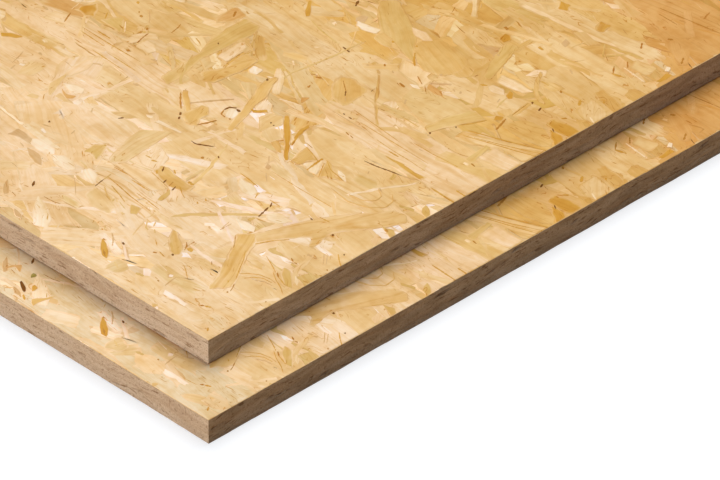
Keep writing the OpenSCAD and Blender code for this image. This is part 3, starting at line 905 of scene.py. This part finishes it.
def stacked(strands, levels):
    """Strands with levels in that range, each higher than those before it that it may overlap."""
    boxes = [(strand.outline.min(0), strand.outline.max(0)) for strand in strands]
    ranks = []
    for k, (low, high) in enumerate(boxes):
        below = [ranks[j] for j in range(k) if (low < boxes[j][1]).all() and (boxes[j][0] < high).all()]
        ranks.append(max(below, default=-1) + 1)
    heights = np.linspace(*levels, max(ranks) + 1)
    return [strand._replace(level=heights[rank]) for strand, rank in zip(strands, ranks)]


def laid_strands(rows, levels, rng):
    """Strands that the photograph shows, as listed."""
    strands = []
    for name, start, end, width, figure, rim in rows:
        start, end = np.array(start, float), np.array(end, float)
        run = end - start
        angle = math.atan2(run[1], run[0])
        length = np.linalg.norm(run)
        end_points = SHOWN_END_POINTS if width > NARROW else NARROW_END_POINTS
        outline = strand_outline(length, width, SHOWN_SIDE_POINTS, end_points, rng)
        centre = (start + end) / 2
        tone = (1 - SHOWN_BLEND) * tone_of(name, rng, SHOWN_DRIFT) + SHOWN_BLEND * ground_at(centre)[0]
        soft = min(SHOWN_SOFT, SOFT_SHARE * width, length / SOFT_PER_LENGTH)
        bevel = min(BEVEL, BEVEL_SHARE * width)
        strands.append(Strand(
            turned(outline, angle) + centre, centre, angle, (length / 2, width / 2), tone, 0.0, figure,
            SHOWN_RIM_SHADE * rim, soft, bevel, 0.0))
    return stacked(strands, levels)


def drawn_patches(patches, rng):
    """Patches as strands, each fading into the ground towards one end."""
    strands = []
    for name, figure, rim, *corners in patches:
        outline = patch_outline(corners, rng)
        way = turned(np.array([1.0, 0.0]), rng.uniform(0, math.tau))
        along = outline @ way
        fade = (PATCH_FADE * rng.random() * (along - along.min()) / np.ptp(along))[:, None]
        tone = faded(tone_of(name, rng, SHOWN_DRIFT), outline, fade)
        strands.append(drawn(outline, tone, figure, rim, PATCH_SOFT_SHARE))
    return strands


def shown_details(rng):
    """The patches and marks that the photograph shows."""
    strands = drawn_patches(SHOWN_PATCHES, rng)
    for name, marks in SHOWN_MARKS.items():
        for width, *bends in marks:
            outline = mark_outline(bends, width, rng)
            fade = MARK_FADE * rng.random((len(outline), 1))
            tone = faded(tone_of(name, rng, SHOWN_DRIFT), outline, fade)
            strands.append(drawn(outline, tone, 0.0, 0.0, 0.0))
    return stacked(strands, DRAWN_LEVELS)


def trimmed(strands, size, rng):
    """Strands cut off at the panel's sawn edges, a little raggedly, the lowest first. Outlines near the shown
    corner are roughened before that."""
    kept = []
    for strand in sorted(strands, key=lambda s: s.level):
        ragged = np.abs(rng.normal(0, RAGGED, 4))
        low = (-size[0] + ragged[0], ragged[1])
        high = (-ragged[2], size[1] - ragged[3])
        outline = strand.outline
        is_shown = (outline > ROUGH_LOW).all() and (outline < ROUGH_HIGH).all()
        if is_shown and strand.level < DRAWN_LEVELS[0]:
            outline = roughened(outline, rng)
        outline = clipped(outline, low, high)
        if outline is not None:
            if len(np.shape(strand.tone)) > 1 and len(outline) != len(strand.outline):
                strand = strand._replace(tone=strand.tone.mean(0))
            kept.append(strand._replace(outline=outline))
    return kept


def fill_mesh(name, vertices, corners, sizes):
    """A mesh object from vertex places, the vertex of each face corner, and the corners of each face."""
    mesh = bpy.data.meshes.new(name)
    mesh.vertices.add(len(vertices))
    mesh.vertices.foreach_set("co", np.ascontiguousarray(vertices, np.float32).ravel())
    mesh.loops.add(len(corners))
    mesh.loops.foreach_set("vertex_index", corners.astype(np.int32))
    mesh.polygons.add(len(sizes))
    starts = np.concatenate([[0], np.cumsum(sizes)[:-1]])
    mesh.polygons.foreach_set("loop_start", starts.astype(np.int32))
    mesh.polygons.foreach_set("use_smooth", np.zeros(len(sizes), bool))
    mesh.update(calc_edges=True)
    mesh.validate()
    piece = bpy.data.objects.new(name, mesh)
    bpy.context.scene.collection.objects.link(piece)
    return piece


def add_uv(mesh, name, places):
    """A map with a place for each face corner."""
    layer = mesh.uv_layers.new(name=name)
    layer.data.foreach_set("uv", np.ascontiguousarray(places, np.float32).ravel())


def add_value(mesh, name, kind, field, values, domain="POINT"):
    """A value of that kind for each vertex or face, for the materials to read."""
    attribute = mesh.attributes.new(name, kind, domain)
    attribute.data.foreach_set(field, np.ascontiguousarray(values, np.float32).ravel())


def strand_piece(name, strands, corner, facing, region, face, rng):
    """Joined strand slabs on a face, open where they are sunk into the core. corner is the face's near corner
    in metres, facing is 1 for a top face and -1 for an underside, and region is the lowest and highest place
    of the face that the piece covers. The bake map has the region folded into rows."""
    places, corners, sizes = [], [], []
    grain, spans, halves, inners, tones, figures, rims, folds = [], [], [], [], [], [], [], []
    (x0, y0), (x1, y1) = region
    length, width = x1 - x0, y1 - y0
    room = 2 * LONGEST_REACH
    rows = min(range(1, MOST_FOLDS + 1), key=lambda n: max(length / n + room, n * (width + room)))
    row_length = length / rows
    map_size = max(row_length + room, rows * (width + room))
    first = 0
    for strand in strands:
        n = len(strand.outline)
        top = SKIN * strand.level
        if strand.ring > 0:
            inset = sound_inset(strand.outline, strand.bevel + strand.ring)
            bevel = np.minimum(strand.bevel, inset / 2)
            tops = [(shrunk(strand.outline, bevel), top), (shrunk(strand.outline, inset), top + CROWN)]
        else:
            tops = [(shrunk(strand.outline, sound_inset(strand.outline, strand.bevel)), top)]
        rings = [(strand.outline, -SUNK)] + tops
        points = np.concatenate([np.column_stack([ring, np.full(n, height)]) for ring, height in rings])
        inner = [0.0, 0.0, max(strand.ring, CLEAR_OF_RIM)] if strand.ring > 0 else [WHOLE, WHOLE]
        total = len(points)
        places.append(points)
        around = np.arange(n)
        ahead = (around + 1) % n
        for k in range(len(rings) - 1):
            low, high = first + k * n, first + (k + 1) * n
            corners.append(np.stack([low + around, low + ahead, high + ahead, high + around], 1).ravel())
        corners.append(first + total - n + around)
        sizes += [4] * (n * (len(rings) - 1)) + [n]
        local = turned(points[:, :2] - strand.centre, -strand.angle) * MM
        grain.append(local + rng.uniform(-GRAIN_SHIFT, GRAIN_SHIFT, 2))
        tone = np.tile(np.broadcast_to(strand.tone, (n, 3)), (len(rings), 1))
        tones.append(np.column_stack([tone, np.ones(total)]))
        figures.append(np.full(total, strand.figure))
        spans.append(local)
        halves.append(np.tile(np.array([*strand.half, strand.soft]) * MM, (total, 1)))
        inners.append(np.repeat(inner, n) * MM)
        rims.append(np.full(total, strand.rim))
        row = min(int((strand.centre[0] - x0) / row_length), rows - 1)
        shift = (x0 + row * row_length - LONGEST_REACH, y0 - LONGEST_REACH - row * (width + room))
        folds.append((points[:, :2] - shift) / map_size)
        first += total
    points = np.concatenate(places)
    corners = np.concatenate(corners)
    sizes = np.array(sizes)
    if facing < 0:
        starts = np.repeat(np.cumsum(sizes) - sizes, sizes)
        place = np.arange(len(corners)) - starts
        corners = corners[starts + np.repeat(sizes, sizes) - 1 - place]
    world = np.empty_like(points)
    world[:, :2] = points[:, :2] * MM + np.array(corner[:2])
    world[:, 2] = corner[2] + facing * (points[:, 2] - SKIN) * MM
    piece = fill_mesh(name, world, corners, sizes)
    add_uv(piece.data, "Grain", np.concatenate(grain)[corners])
    add_uv(piece.data, "Span", np.concatenate(spans)[corners])
    add_uv(piece.data, "Face", points[corners, :2] * MM)
    add_uv(piece.data, "OFBake", np.concatenate(folds)[corners])
    add_value(piece.data, "tone", "FLOAT_COLOR", "color", np.concatenate(tones))
    add_value(piece.data, "figure", "FLOAT", "value", np.concatenate(figures))
    add_value(piece.data, "rim", "FLOAT", "value", np.concatenate(rims))
    add_value(piece.data, "half", "FLOAT_VECTOR", "vector", np.concatenate(halves))
    add_value(piece.data, "inner", "FLOAT", "value", np.concatenate(inners))
    ground = np.concatenate([ground_at(points[:, :2]), np.ones((len(points), 1))], 1)
    add_value(piece.data, "ground", "FLOAT_COLOR", "color", ground)
    piece.data.materials.append(face)
    return piece


def drawn_out(noise, reach):
    """Noise averaged along a closed ring of columns, back at its own spread."""
    total = sum(np.roll(noise, k, 0) for k in range(reach))
    return total / math.sqrt(reach)


def edge_ring(low, high):
    """Columns round a panel's sides: places, ways inwards, widths, 1 for those on the panel's ends, and the
    first column of each side."""
    turns = [(low[0], low[1]), (high[0], low[1]), (high[0], high[1]), (low[0], high[1])]
    ring, inward, run, ends, firsts = [], [], [], [], []
    for k in range(4):
        a, b = np.array(turns[k]), np.array(turns[(k + 1) % 4])
        span = np.linalg.norm(b - a)
        ahead = (b - a) / span
        into = np.array([-ahead[1], ahead[0]])
        count = round(span / EDGE_COLUMN)
        firsts.append(len(ring))
        for i in range(count):
            ring.append(a + ahead * span * i / count)
            inward.append(into + ahead if i == 0 else into)
            run.append(span / count)
            ends.append(k % 2)
    return np.array(ring), np.array(inward), np.array(run), np.array(ends), np.array(firsts)


def map_core(mesh, points, quads, caps, run, low, high):
    """A core's maps. The bake map has the sides in rows, one above the other, and both caps small in a row
    of their own."""
    end = np.cumsum(run)
    start = np.concatenate([[0], end[:-1]])
    along = np.stack([start, end, end, start], 1)[:, None].repeat(EDGE_ROWS, 1).reshape(-1)
    up = points[quads.ravel(), 2]
    flat = points[caps.ravel(), :2]
    on_face = np.concatenate([np.zeros((quads.size, 2)), flat - (high[0], low[1])])
    row_length = end[-1] / FOLD_ROWS
    row_height = high[2] - low[2] + FOLD_GAP
    row = np.floor(start / row_length).repeat(4 * EDGE_ROWS)
    sides = np.stack([along - row * row_length, up - low[2] + row * row_height], 1)
    cap_scale = (high[2] - low[2]) / (high[1] - low[1])
    cap_places = (flat - low[:2]) * cap_scale + (0, FOLD_ROWS * row_height)
    cap_places[len(flat) // 2:, 0] += 2 * cap_scale * (high[0] - low[0])
    fold_size = max(row_length + EDGE_COLUMN, (FOLD_ROWS + 1) * row_height) + 2 * FOLD_GAP
    add_uv(mesh, "Grain", np.concatenate([np.stack([along, up], 1), flat]) * MM)
    add_uv(mesh, "Face", on_face * MM)
    add_uv(mesh, "Span", np.zeros((len(on_face), 2)))
    add_uv(mesh, "OFBake", (np.concatenate([sides, cap_places]) + FOLD_GAP) / fold_size)


def sawn_core(name, low, high, edge, face, rng):
    """A panel between its strand layers, with rough sawn sides. Corners are in metres."""
    low, high = np.array(low) / MM, np.array(high) / MM
    ring, inward, run, ends, firsts = edge_ring(low, high)
    columns, rows = len(ring), EDGE_ROWS
    rough = drawn_out(rng.normal(size=(columns, rows + 1)), ROUGH_REACH)
    pits = drawn_out(rng.normal(size=(columns, rows + 1)), PIT_REACH) > PIT_LEVEL
    pits[:, [0, -1]] = False
    depth = np.clip(EDGE_ROUGHNESS * (1 + rough), 0, EDGE_DEEPEST * EDGE_ROUGHNESS) + PIT_DEPTH * pits
    heights = np.linspace(low[2] + SKIN, high[2] - SKIN, rows + 1)
    points = np.empty((columns, rows + 1, 3))
    points[:, :, :2] = ring[:, None] + inward[:, None] * depth[:, :, None]
    points[:, :, 2] = heights
    index = np.arange(columns * (rows + 1)).reshape(columns, rows + 1)
    after = np.roll(index, -1, 0)
    quads = np.stack([index[:, :-1], after[:, :-1], after[:, 1:], index[:, 1:]], -1).reshape(-1, 4)

    # Each cap is a frame of quads round one flat face
    inset = ring + inward * CAP_INSET
    top_ring = index.size + np.arange(columns)
    foot_ring = top_ring + columns
    top_frame = np.stack([index[:, -1], after[:, -1], np.roll(top_ring, -1), top_ring], 1)
    foot_frame = np.stack([after[:, 0], index[:, 0], foot_ring, np.roll(foot_ring, -1)], 1)
    caps = np.concatenate([top_frame, [top_ring[firsts]], foot_frame, [foot_ring[firsts[::-1]]]])
    points = np.concatenate([
        points.reshape(-1, 3),
        np.column_stack([inset, np.full(columns, heights[-1])]),
        np.column_stack([inset, np.full(columns, heights[0])])])
    corners = np.concatenate([quads.ravel(), caps.ravel()])
    sizes = np.full(len(quads) + len(caps), 4)
    piece = fill_mesh(name, points * MM, corners, sizes)
    map_core(piece.data, points, quads, caps, run, low, high)

    # What the materials read: pits that get painted shade and ends for the sides, and plain values of a
    # strand for the caps
    pit_values = np.append(pits.reshape(-1), np.zeros(2 * columns))
    end_values = np.append(np.repeat(ends, rows), np.zeros(len(caps)))
    tones = np.tile(np.append(linear(TONES[GROUND_TONE]), 1.0), (len(points), 1))
    halves = np.tile(CAP_HALF, (len(points), 1))
    add_value(piece.data, "pit_shade", "FLOAT", "value", pit_values)
    add_value(piece.data, "end", "FLOAT", "value", end_values, "FACE")
    add_value(piece.data, "tone", "FLOAT_COLOR", "color", tones)
    add_value(piece.data, "ground", "FLOAT_COLOR", "color", tones)
    add_value(piece.data, "half", "FLOAT_VECTOR", "vector", halves)
    add_value(piece.data, "inner", "FLOAT", "value", np.ones(len(points)))
    piece.data.materials.append(edge)
    piece.data.materials.append(face)
    slots = np.repeat([0, 1], [len(quads), len(caps)])
    piece.data.polygons.foreach_set("material_index", slots.astype(np.int32))
    return piece


class Nodes:
    """Short ways to add shader nodes to a material. A scale is how many features a metre has, along the grain
    and across it."""

    def __init__(self, material):
        material.use_nodes = True
        self.tree = material.node_tree
        self.shader = self.tree.nodes["Principled BSDF"]
        self.grain = None

    def add(self, kind, inputs=None, **settings):
        node = self.tree.nodes.new(kind)
        for key, value in settings.items():
            setattr(node, key, value)
        for key, value in (inputs or {}).items():
            self.put(value, node.inputs[key])
        return node

    def put(self, value, socket):
        if isinstance(value, bpy.types.NodeSocket):
            self.tree.links.new(value, socket)
        else:
            socket.default_value = value

    def attribute(self, name, output="Fac"):
        return self.add("ShaderNodeAttribute", attribute_name=name).outputs[output]

    def uv(self, name):
        return self.add("ShaderNodeUVMap", uv_map=name).outputs[0]

    def math(self, operation, a, b=0.0):
        return self.add("ShaderNodeMath", {0: a, 1: b}, operation=operation).outputs[0]

    def plus(self, a, b):
        return self.math("ADD", a, b)

    def minus(self, a, b):
        return self.math("SUBTRACT", a, b)

    def times(self, a, b):
        return self.math("MULTIPLY", a, b)

    def parts(self, vector):
        return self.add("ShaderNodeSeparateXYZ", {0: vector}).outputs

    def vector_math(self, operation, a, b):
        return self.add("ShaderNodeVectorMath", {0: a, 1: b}, operation=operation).outputs[0]

    def noise_at(self, place, detail):
        inputs = {"Vector": place, "Scale": 1.0, "Detail": detail}
        return self.add("ShaderNodeTexNoise", inputs, noise_dimensions="2D").outputs["Fac"]

    def spread(self, scale):
        """The grain map at that scale, its fibres drawn aside in slow waves."""
        if self.grain is None:
            place = self.uv("Grain")
            wave = self.noise_at(self.vector_math("MULTIPLY", place, (18, 40, 1)), 1.0)
            aside = self.add("ShaderNodeCombineXYZ", {1: self.times(wave, GRAIN_WARP)}).outputs[0]
            self.grain = self.vector_math("ADD", place, aside)
        return self.vector_math("MULTIPLY", self.grain, scale)

    def noise(self, scale, detail=2.0):
        """Noise on the grain map."""
        return self.noise_at(self.spread(scale), detail)

    def field(self, scale, detail=2.0):
        """Noise over the whole face."""
        return self.noise_at(self.vector_math("MULTIPLY", self.uv("Face"), scale), detail)

    def band(self, value, low, high):
        """0 below low, 1 above high and smooth between."""
        inputs = {"Value": value, "From Min": low, "From Max": high}
        return self.add("ShaderNodeMapRange", inputs, interpolation_type="SMOOTHSTEP").outputs["Result"]

    def mix(self, factor, a, b, blend="MIX"):
        node = self.add("ShaderNodeMix", data_type="RGBA", blend_type=blend)
        self.put(factor, node.inputs["Factor"])
        for value, key in ((a, 6), (b, 7)):
            if isinstance(value, tuple):
                value = (*value, 1.0)
            self.put(value, node.inputs[key])
        return node.outputs[2]

    def shaded(self, colour, factor, shade):
        """A colour multiplied by a shade where the factor is 1."""
        return self.mix(factor, colour, shade, "MULTIPLY")

    def finish(self, colour, gloss, roughness, height, relief):
        """Joins what was made to the shader."""
        bump = self.add("ShaderNodeBump", {"Height": height, "Distance": relief, "Strength": RELIEF_STRENGTH})
        self.put(colour, self.shader.inputs["Base Color"])
        self.put(gloss, self.shader.inputs["Specular IOR Level"])
        self.put(roughness, self.shader.inputs["Roughness"])
        self.put(bump.outputs[0], self.shader.inputs["Normal"])


def face_material():
    """Pressed strands: tones that run into the ground at soft, torn borders, with fibres and growth rings."""
    material = bpy.data.materials.new("osb_face")
    n = Nodes(material)
    fine = n.noise((25, 1500, 1))
    streaks = n.noise((14, 330, 1))
    tears = n.noise((45, 800, 1))
    waver = n.noise((70, 70, 1))
    place = n.parts(n.uv("Span"))
    half = n.parts(n.attribute("half", "Vector"))

    # How far inside its strand a spot is, frayed along the fibres at the ends
    end_room = n.minus(half[0], n.math("ABSOLUTE", place[0]))
    side_room = n.minus(half[1], n.math("ABSOLUTE", place[1]))
    side_room = n.math("MINIMUM", side_room, n.attribute("inner"))
    soft = n.math("MAXIMUM", half[2], LEAST_SOFT)
    fray = n.times(n.minus(tears, 0.5), n.times(soft, END_FRAY))
    drift = n.times(n.minus(waver, 0.5), n.times(soft, SIDE_DRIFT))
    end_share = n.band(n.plus(end_room, fray), 0.0, n.times(soft, END_FADE))
    side_share = n.band(n.plus(side_room, drift), 0.0, soft)
    inside = n.plus(n.times(n.times(end_share, side_share), 1 - LEAST_TONE), LEAST_TONE)
    colour = n.mix(inside, n.attribute("ground", "Color"), n.attribute("tone", "Color"))

    # Stains run over several strands, and streaks, fibres and flakes along each one
    flakes = n.add(
        "ShaderNodeTexVoronoi", {"Vector": n.spread((60, 600, 1)), "Scale": 1.0}, voronoi_dimensions="2D")
    flake = n.parts(flakes.outputs["Color"])[0]
    colour = n.shaded(colour, n.band(n.field((22, 30, 1), 3.0), 0.35, 0.70), STAIN)
    colour = n.shaded(colour, n.band(n.field((130, 130, 1)), 0.40, 0.75), MOTTLE)
    colour = n.shaded(colour, n.band(streaks, 0.44, 0.68), STREAK)
    colour = n.shaded(colour, n.band(fine, 0.45, 0.78), FIBRE)
    colour = n.shaded(colour, n.band(flake, 0.2, 1.0), FLAKE)

    # Torn flakes are terraces of ragged noise, each with its own tone, and broken lines of painted shade in
    # the cracks between them
    torn = n.times(n.noise((22, 70, 1), 2.5), TERRACES)
    terrace = n.add("ShaderNodeTexWhiteNoise", {"W": n.math("FLOOR", torn)}, noise_dimensions="1D")
    shade = terrace.outputs["Value"]
    brink = n.minus(1.0, n.band(n.math("FRACT", torn), 0.04, 0.16))
    torn_areas = n.band(n.field((28, 28, 1)), 0.50, 0.62)
    torn_bits = n.band(n.noise((90, 260, 1), 1.0), 0.48, 0.58)
    brinks = n.times(brink, n.times(torn_areas, torn_bits))
    colour = n.shaded(colour, shade, TERRACE)
    colour = n.shaded(colour, brinks, CRACK_SHADE)

    # Growth rings are contours of slow noise
    rings = n.math("FRACT", n.times(n.noise((3.5, 45, 1), 0.5), RINGS))
    ring = n.minus(1.0, n.band(n.math("ABSOLUTE", n.minus(rings, 0.5)), 0.04, 0.20))
    colour = n.shaded(colour, n.times(ring, n.attribute("figure")), RING)

    # Short dark dashes lie in clumps
    clumps = n.band(n.noise((16, 60, 1)), 0.56, 0.68)
    dashes = n.times(n.band(n.noise((90, 900, 1), 1.0), 0.68, 0.77), clumps)
    colour = n.shaded(colour, dashes, DASH)

    # Broken lines of painted shade along the strand's border, where it lifts
    room = n.math("MINIMUM", n.plus(end_room, n.times(fray, 0.2)), side_room)
    line = n.minus(1.0, n.band(room, *RIM_SHADE_LINE))
    broken = n.band(n.noise((45, 45, 1), 3.0), 0.46, 0.60)
    colour = n.shaded(colour, n.times(n.times(line, broken), n.attribute("rim")), RIM_SHADE)

    height = n.minus(n.plus(fine, shade), n.plus(dashes, brinks))
    n.finish(colour, FACE_GLOSS, n.plus(n.times(fine, 0.2), 0.5), height, FACE_RELIEF)
    return material


def edge_material():
    """Sawn edges: strand ends pressed into thin layers, with speckle, dark dashes, and pits darkened with
    painted shade.
    """
    material = bpy.data.materials.new("osb_edge")
    n = Nodes(material)
    layers = n.noise((30, 300, 1), 3.0)
    patches = n.noise((9, 45, 1))
    grains = n.noise((800, 1000, 1))
    specks = n.noise((380, 620, 1), 1.0)
    dashes = n.noise((110, 620, 1), 1.5)
    clumps = n.noise((30, 90, 1), 1.0)
    strata = n.noise((45, 190, 1))
    end = n.attribute("end")
    colour = n.mix(n.band(layers, 0.30, 0.75), EDGE_PALE, EDGE_MID)
    colour = n.shaded(colour, n.band(patches, 0.35, 0.75), EDGE_PATCH)
    colour = n.shaded(colour, n.band(grains, 0.35, 0.70), EDGE_GRAIN)
    colour = n.mix(n.times(n.band(specks, 0.64, 0.74), 0.5), colour, EDGE_DARK)
    marks = n.times(n.band(dashes, 0.62, 0.70), n.band(clumps, 0.42, 0.58))
    colour = n.mix(n.times(marks, 0.8), colour, EDGE_DARK)
    # Pits, sunk into the sides, are darkened too: painted shade in them
    colour = n.mix(n.times(n.attribute("pit_shade"), 0.6), colour, EDGE_DARK)
    colour = n.shaded(colour, end, END_GRAIN)
    colour = n.shaded(colour, n.times(end, n.band(strata, 0.42, 0.62)), END_STRATA)
    height = n.minus(n.plus(layers, grains), marks)
    n.finish(colour, EDGE_GLOSS, n.plus(n.times(layers, 0.2), 0.7), height, EDGE_RELIEF)
    return material


def seen_directly(tree):
    """1 for rays from the camera and for those that a mirror or glass passes on."""
    path = tree.nodes.new("ShaderNodeLightPath")
    total = path.outputs["Is Camera Ray"]
    for name in ("Is Glossy Ray", "Is Transmission Ray"):
        add = tree.nodes.new("ShaderNodeMath")
        add.operation = "MAXIMUM"
        tree.links.new(total, add.inputs[0])
        tree.links.new(path.outputs[name], add.inputs[1])
        total = add.outputs[0]
    return total


def add_floor():
    """A pale floor that looks white and keeps the shadow, but throws little light back."""
    corners = [(-FLOOR_REACH, -FLOOR_REACH, 0), (FLOOR_REACH, -FLOOR_REACH, 0),
               (FLOOR_REACH, FLOOR_REACH, 0), (-FLOOR_REACH, FLOOR_REACH, 0)]
    mesh = bpy.data.meshes.new("floor")
    mesh.from_pydata(corners, [], [(0, 1, 2, 3)])
    floor = bpy.data.objects.new("floor", mesh)
    bpy.context.scene.collection.objects.link(floor)
    material = bpy.data.materials.new("floor")
    material.use_nodes = True
    tree = material.node_tree
    tree.nodes.clear()
    bounce = tree.nodes.new("ShaderNodeBsdfDiffuse")
    bounce.inputs["Color"].default_value = FLOOR_BOUNCE
    white = tree.nodes.new("ShaderNodeBsdfDiffuse")
    white.inputs["Color"].default_value = FLOOR_GREY
    glow = tree.nodes.new("ShaderNodeEmission")
    glow.inputs["Strength"].default_value = FLOOR_GLOW
    both = tree.nodes.new("ShaderNodeAddShader")
    tree.links.new(white.outputs[0], both.inputs[0])
    tree.links.new(glow.outputs[0], both.inputs[1])
    choose = tree.nodes.new("ShaderNodeMixShader")
    tree.links.new(seen_directly(tree), choose.inputs[0])
    tree.links.new(bounce.outputs[0], choose.inputs[1])
    tree.links.new(both.outputs[0], choose.inputs[2])
    output = tree.nodes.new("ShaderNodeOutputMaterial")
    tree.links.new(choose.outputs[0], output.inputs["Surface"])
    floor.data.materials.append(material)


def add_world():
    """Even soft light all round, with white behind the object."""
    world = bpy.data.worlds.new("studio")
    bpy.context.scene.world = world
    world.use_nodes = True
    tree = world.node_tree
    tree.nodes.clear()
    light = tree.nodes.new("ShaderNodeBackground")
    light.inputs["Strength"].default_value = AMBIENT
    light.inputs["Color"].default_value = AMBIENT_TINT
    white = tree.nodes.new("ShaderNodeBackground")
    white.inputs["Color"].default_value = (1, 1, 1, 1)
    choose = tree.nodes.new("ShaderNodeMixShader")
    tree.links.new(seen_directly(tree), choose.inputs[0])
    tree.links.new(light.outputs[0], choose.inputs[1])
    tree.links.new(white.outputs[0], choose.inputs[2])
    output = tree.nodes.new("ShaderNodeOutputWorld")
    tree.links.new(choose.outputs[0], output.inputs["Surface"])


def add_lamp(name, level, comes_from, spread):
    """A far soft lamp that lights a surface facing it to that level."""
    lamp = bpy.data.lights.new(name, "SUN")
    lamp.energy = level * math.pi
    lamp.angle = spread
    holder = bpy.data.objects.new(name, lamp)
    holder.rotation_euler = comes_from.to_track_quat("Z", "Y").to_euler()
    bpy.context.scene.collection.objects.link(holder)


def add_camera(corner):
    """The photograph's view of the stack's near corner."""
    back = Vector((
        math.sin(CAMERA_AZIMUTH) * math.cos(CAMERA_ELEVATION),
        -math.cos(CAMERA_AZIMUTH) * math.cos(CAMERA_ELEVATION),
        math.sin(CAMERA_ELEVATION)))
    data = bpy.data.cameras.new("camera")
    data.lens = LENS
    data.sensor_width = IMAGE_WIDTH
    data.clip_end = CAMERA_FAR
    camera = bpy.data.objects.new("camera", data)
    camera.location = corner + AIM_FROM_CORNER + back * CAMERA_DISTANCE
    camera.rotation_euler = (-back).to_track_quat("-Z", "Y").to_euler()
    bpy.context.scene.collection.objects.link(camera)
    bpy.context.scene.camera = camera


def dress(piece, node):
    """Finishes a piece that stands for a panel."""
    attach(piece, "root")
    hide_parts(node)


def near(strand, region):
    """True if some of a strand lies in a region."""
    (x0, y0), (x1, y1) = region
    low, high = strand.outline.min(0), strand.outline.max(0)
    return low[0] < x1 and high[0] > x0 and low[1] < y1 and high[1] > y0


def lay_bays(name, node, strands, bays, corner, facing):
    """A whole face's strands as pieces, one for each bay along the panel."""
    length, width = panel_size
    bay_width = width / bays
    for bay in range(bays):
        members = [s for s in strands if min(int(s.centre[1] // bay_width), bays - 1) == bay]
        region = ((-length, bay * bay_width), (0, (bay + 1) * bay_width))
        piece = strand_piece(f"{name}_{bay + 1}", members, corner, facing, region, osb_face, rng)
        dress(piece, node)


boxes = {node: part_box(node) for node in ("lower_panel", "upper_panel")}
upper_low, upper_high = boxes["upper_panel"]
lower_low, lower_high = boxes["lower_panel"]
panel_size = ((upper_high.x - upper_low.x) / MM, (upper_high.y - upper_low.y) / MM)
add_camera(Vector((upper_high.x, upper_low.y, upper_high.z)))

# The two top faces carry the same strands, as in the photograph
osb_face = face_material()
osb_edge = edge_material()
rng = np.random.default_rng(SEED)
top_strands = scattered(panel_size, KINDS.values(), rng)
top_strands += laid_strands(SHOWN_STRANDS, SHOWN_LEVELS, rng) + shown_details(rng)
top_strands = trimmed(top_strands, panel_size, rng)
upper_corner = (upper_high.x, upper_low.y, upper_high.z)
lower_corner = (lower_high.x, lower_low.y, lower_high.z)
lay_bays("upper_face_bay", "upper_panel", top_strands, BAYS, upper_corner, 1)

# The lower panel's face where the upper panel leaves it bare
bare_end = (lower_high.x - upper_high.x) / MM + TUCKED
bare_side = (upper_low.y - lower_low.y) / MM + TUCKED
side_region = ((-panel_size[0], 0), (0, bare_side))
end_region = ((-bare_end, bare_side), (0, panel_size[1]))
lower_strands = laid_strands(LOWER_STRANDS, LOWER_LEVELS, rng)
lower_patches = drawn_patches(LOWER_PATCHES, rng)
lower_strands += [patch._replace(level=LOWER_PATCH_LEVEL) for patch in lower_patches]
lower_strands = top_strands + trimmed(lower_strands, panel_size, rng)
side_strands = [s for s in lower_strands if near(s, side_region)]
taken = set(map(id, side_strands))
end_strands = [s for s in lower_strands if near(s, end_region) and id(s) not in taken]
for name, members, region in (("lower_face_side", side_strands, side_region),
                              ("lower_face_end", end_strands, end_region)):
    piece = strand_piece(name, members, lower_corner, 1, region, osb_face, rng)
    dress(piece, "lower_panel")

# The lower panel's underside
under_kinds = [
    KINDS["broad"]._replace(cover=1.3, levels=(0.3, 0.8)),
    KINDS["narrow"]._replace(cover=0.4, levels=(0.6, 0.97)),
]
under_strands = trimmed(scattered(panel_size, under_kinds, rng), panel_size, rng)
under_corner = (lower_high.x, lower_low.y, lower_low.z)
lay_bays("lower_underside_bay", "lower_panel", under_strands, UNDERSIDE_BAYS, under_corner, -1)

# The upper panel's underside near its border, the rest of which lies on the lower panel
under_corner = (upper_high.x, upper_low.y, upper_low.z)
border_regions = {
    "side": ((-panel_size[0], panel_size[1] - bare_side), (0, panel_size[1])),
    "end": ((-panel_size[0], 0), (bare_end - panel_size[0], panel_size[1] - bare_side)),
    "near_side": ((bare_end - panel_size[0], 0), (0, TUCKED)),
    "near_end": ((-TUCKED, TUCKED), (0, panel_size[1] - bare_side)),
}
taken = set()
for place, region in border_regions.items():
    members = [s for s in under_strands if near(s, region) and id(s) not in taken]
    taken.update(map(id, members))
    piece = strand_piece(f"upper_underside_{place}", members, under_corner, -1, region, osb_face, rng)
    dress(piece, "upper_panel")

for node, (low, high) in boxes.items():
    core = sawn_core(f"{node}_core", low, high, osb_edge, osb_face, rng)
    dress(core, node)

add_floor()
add_world()
add_lamp("back_light", BACK_LEVEL, BACK_FROM, BACK_SPREAD)
add_lamp("key_light", KEY_LEVEL, KEY_FROM, KEY_SPREAD)
bpy.context.scene.view_settings.view_transform = "Standard"
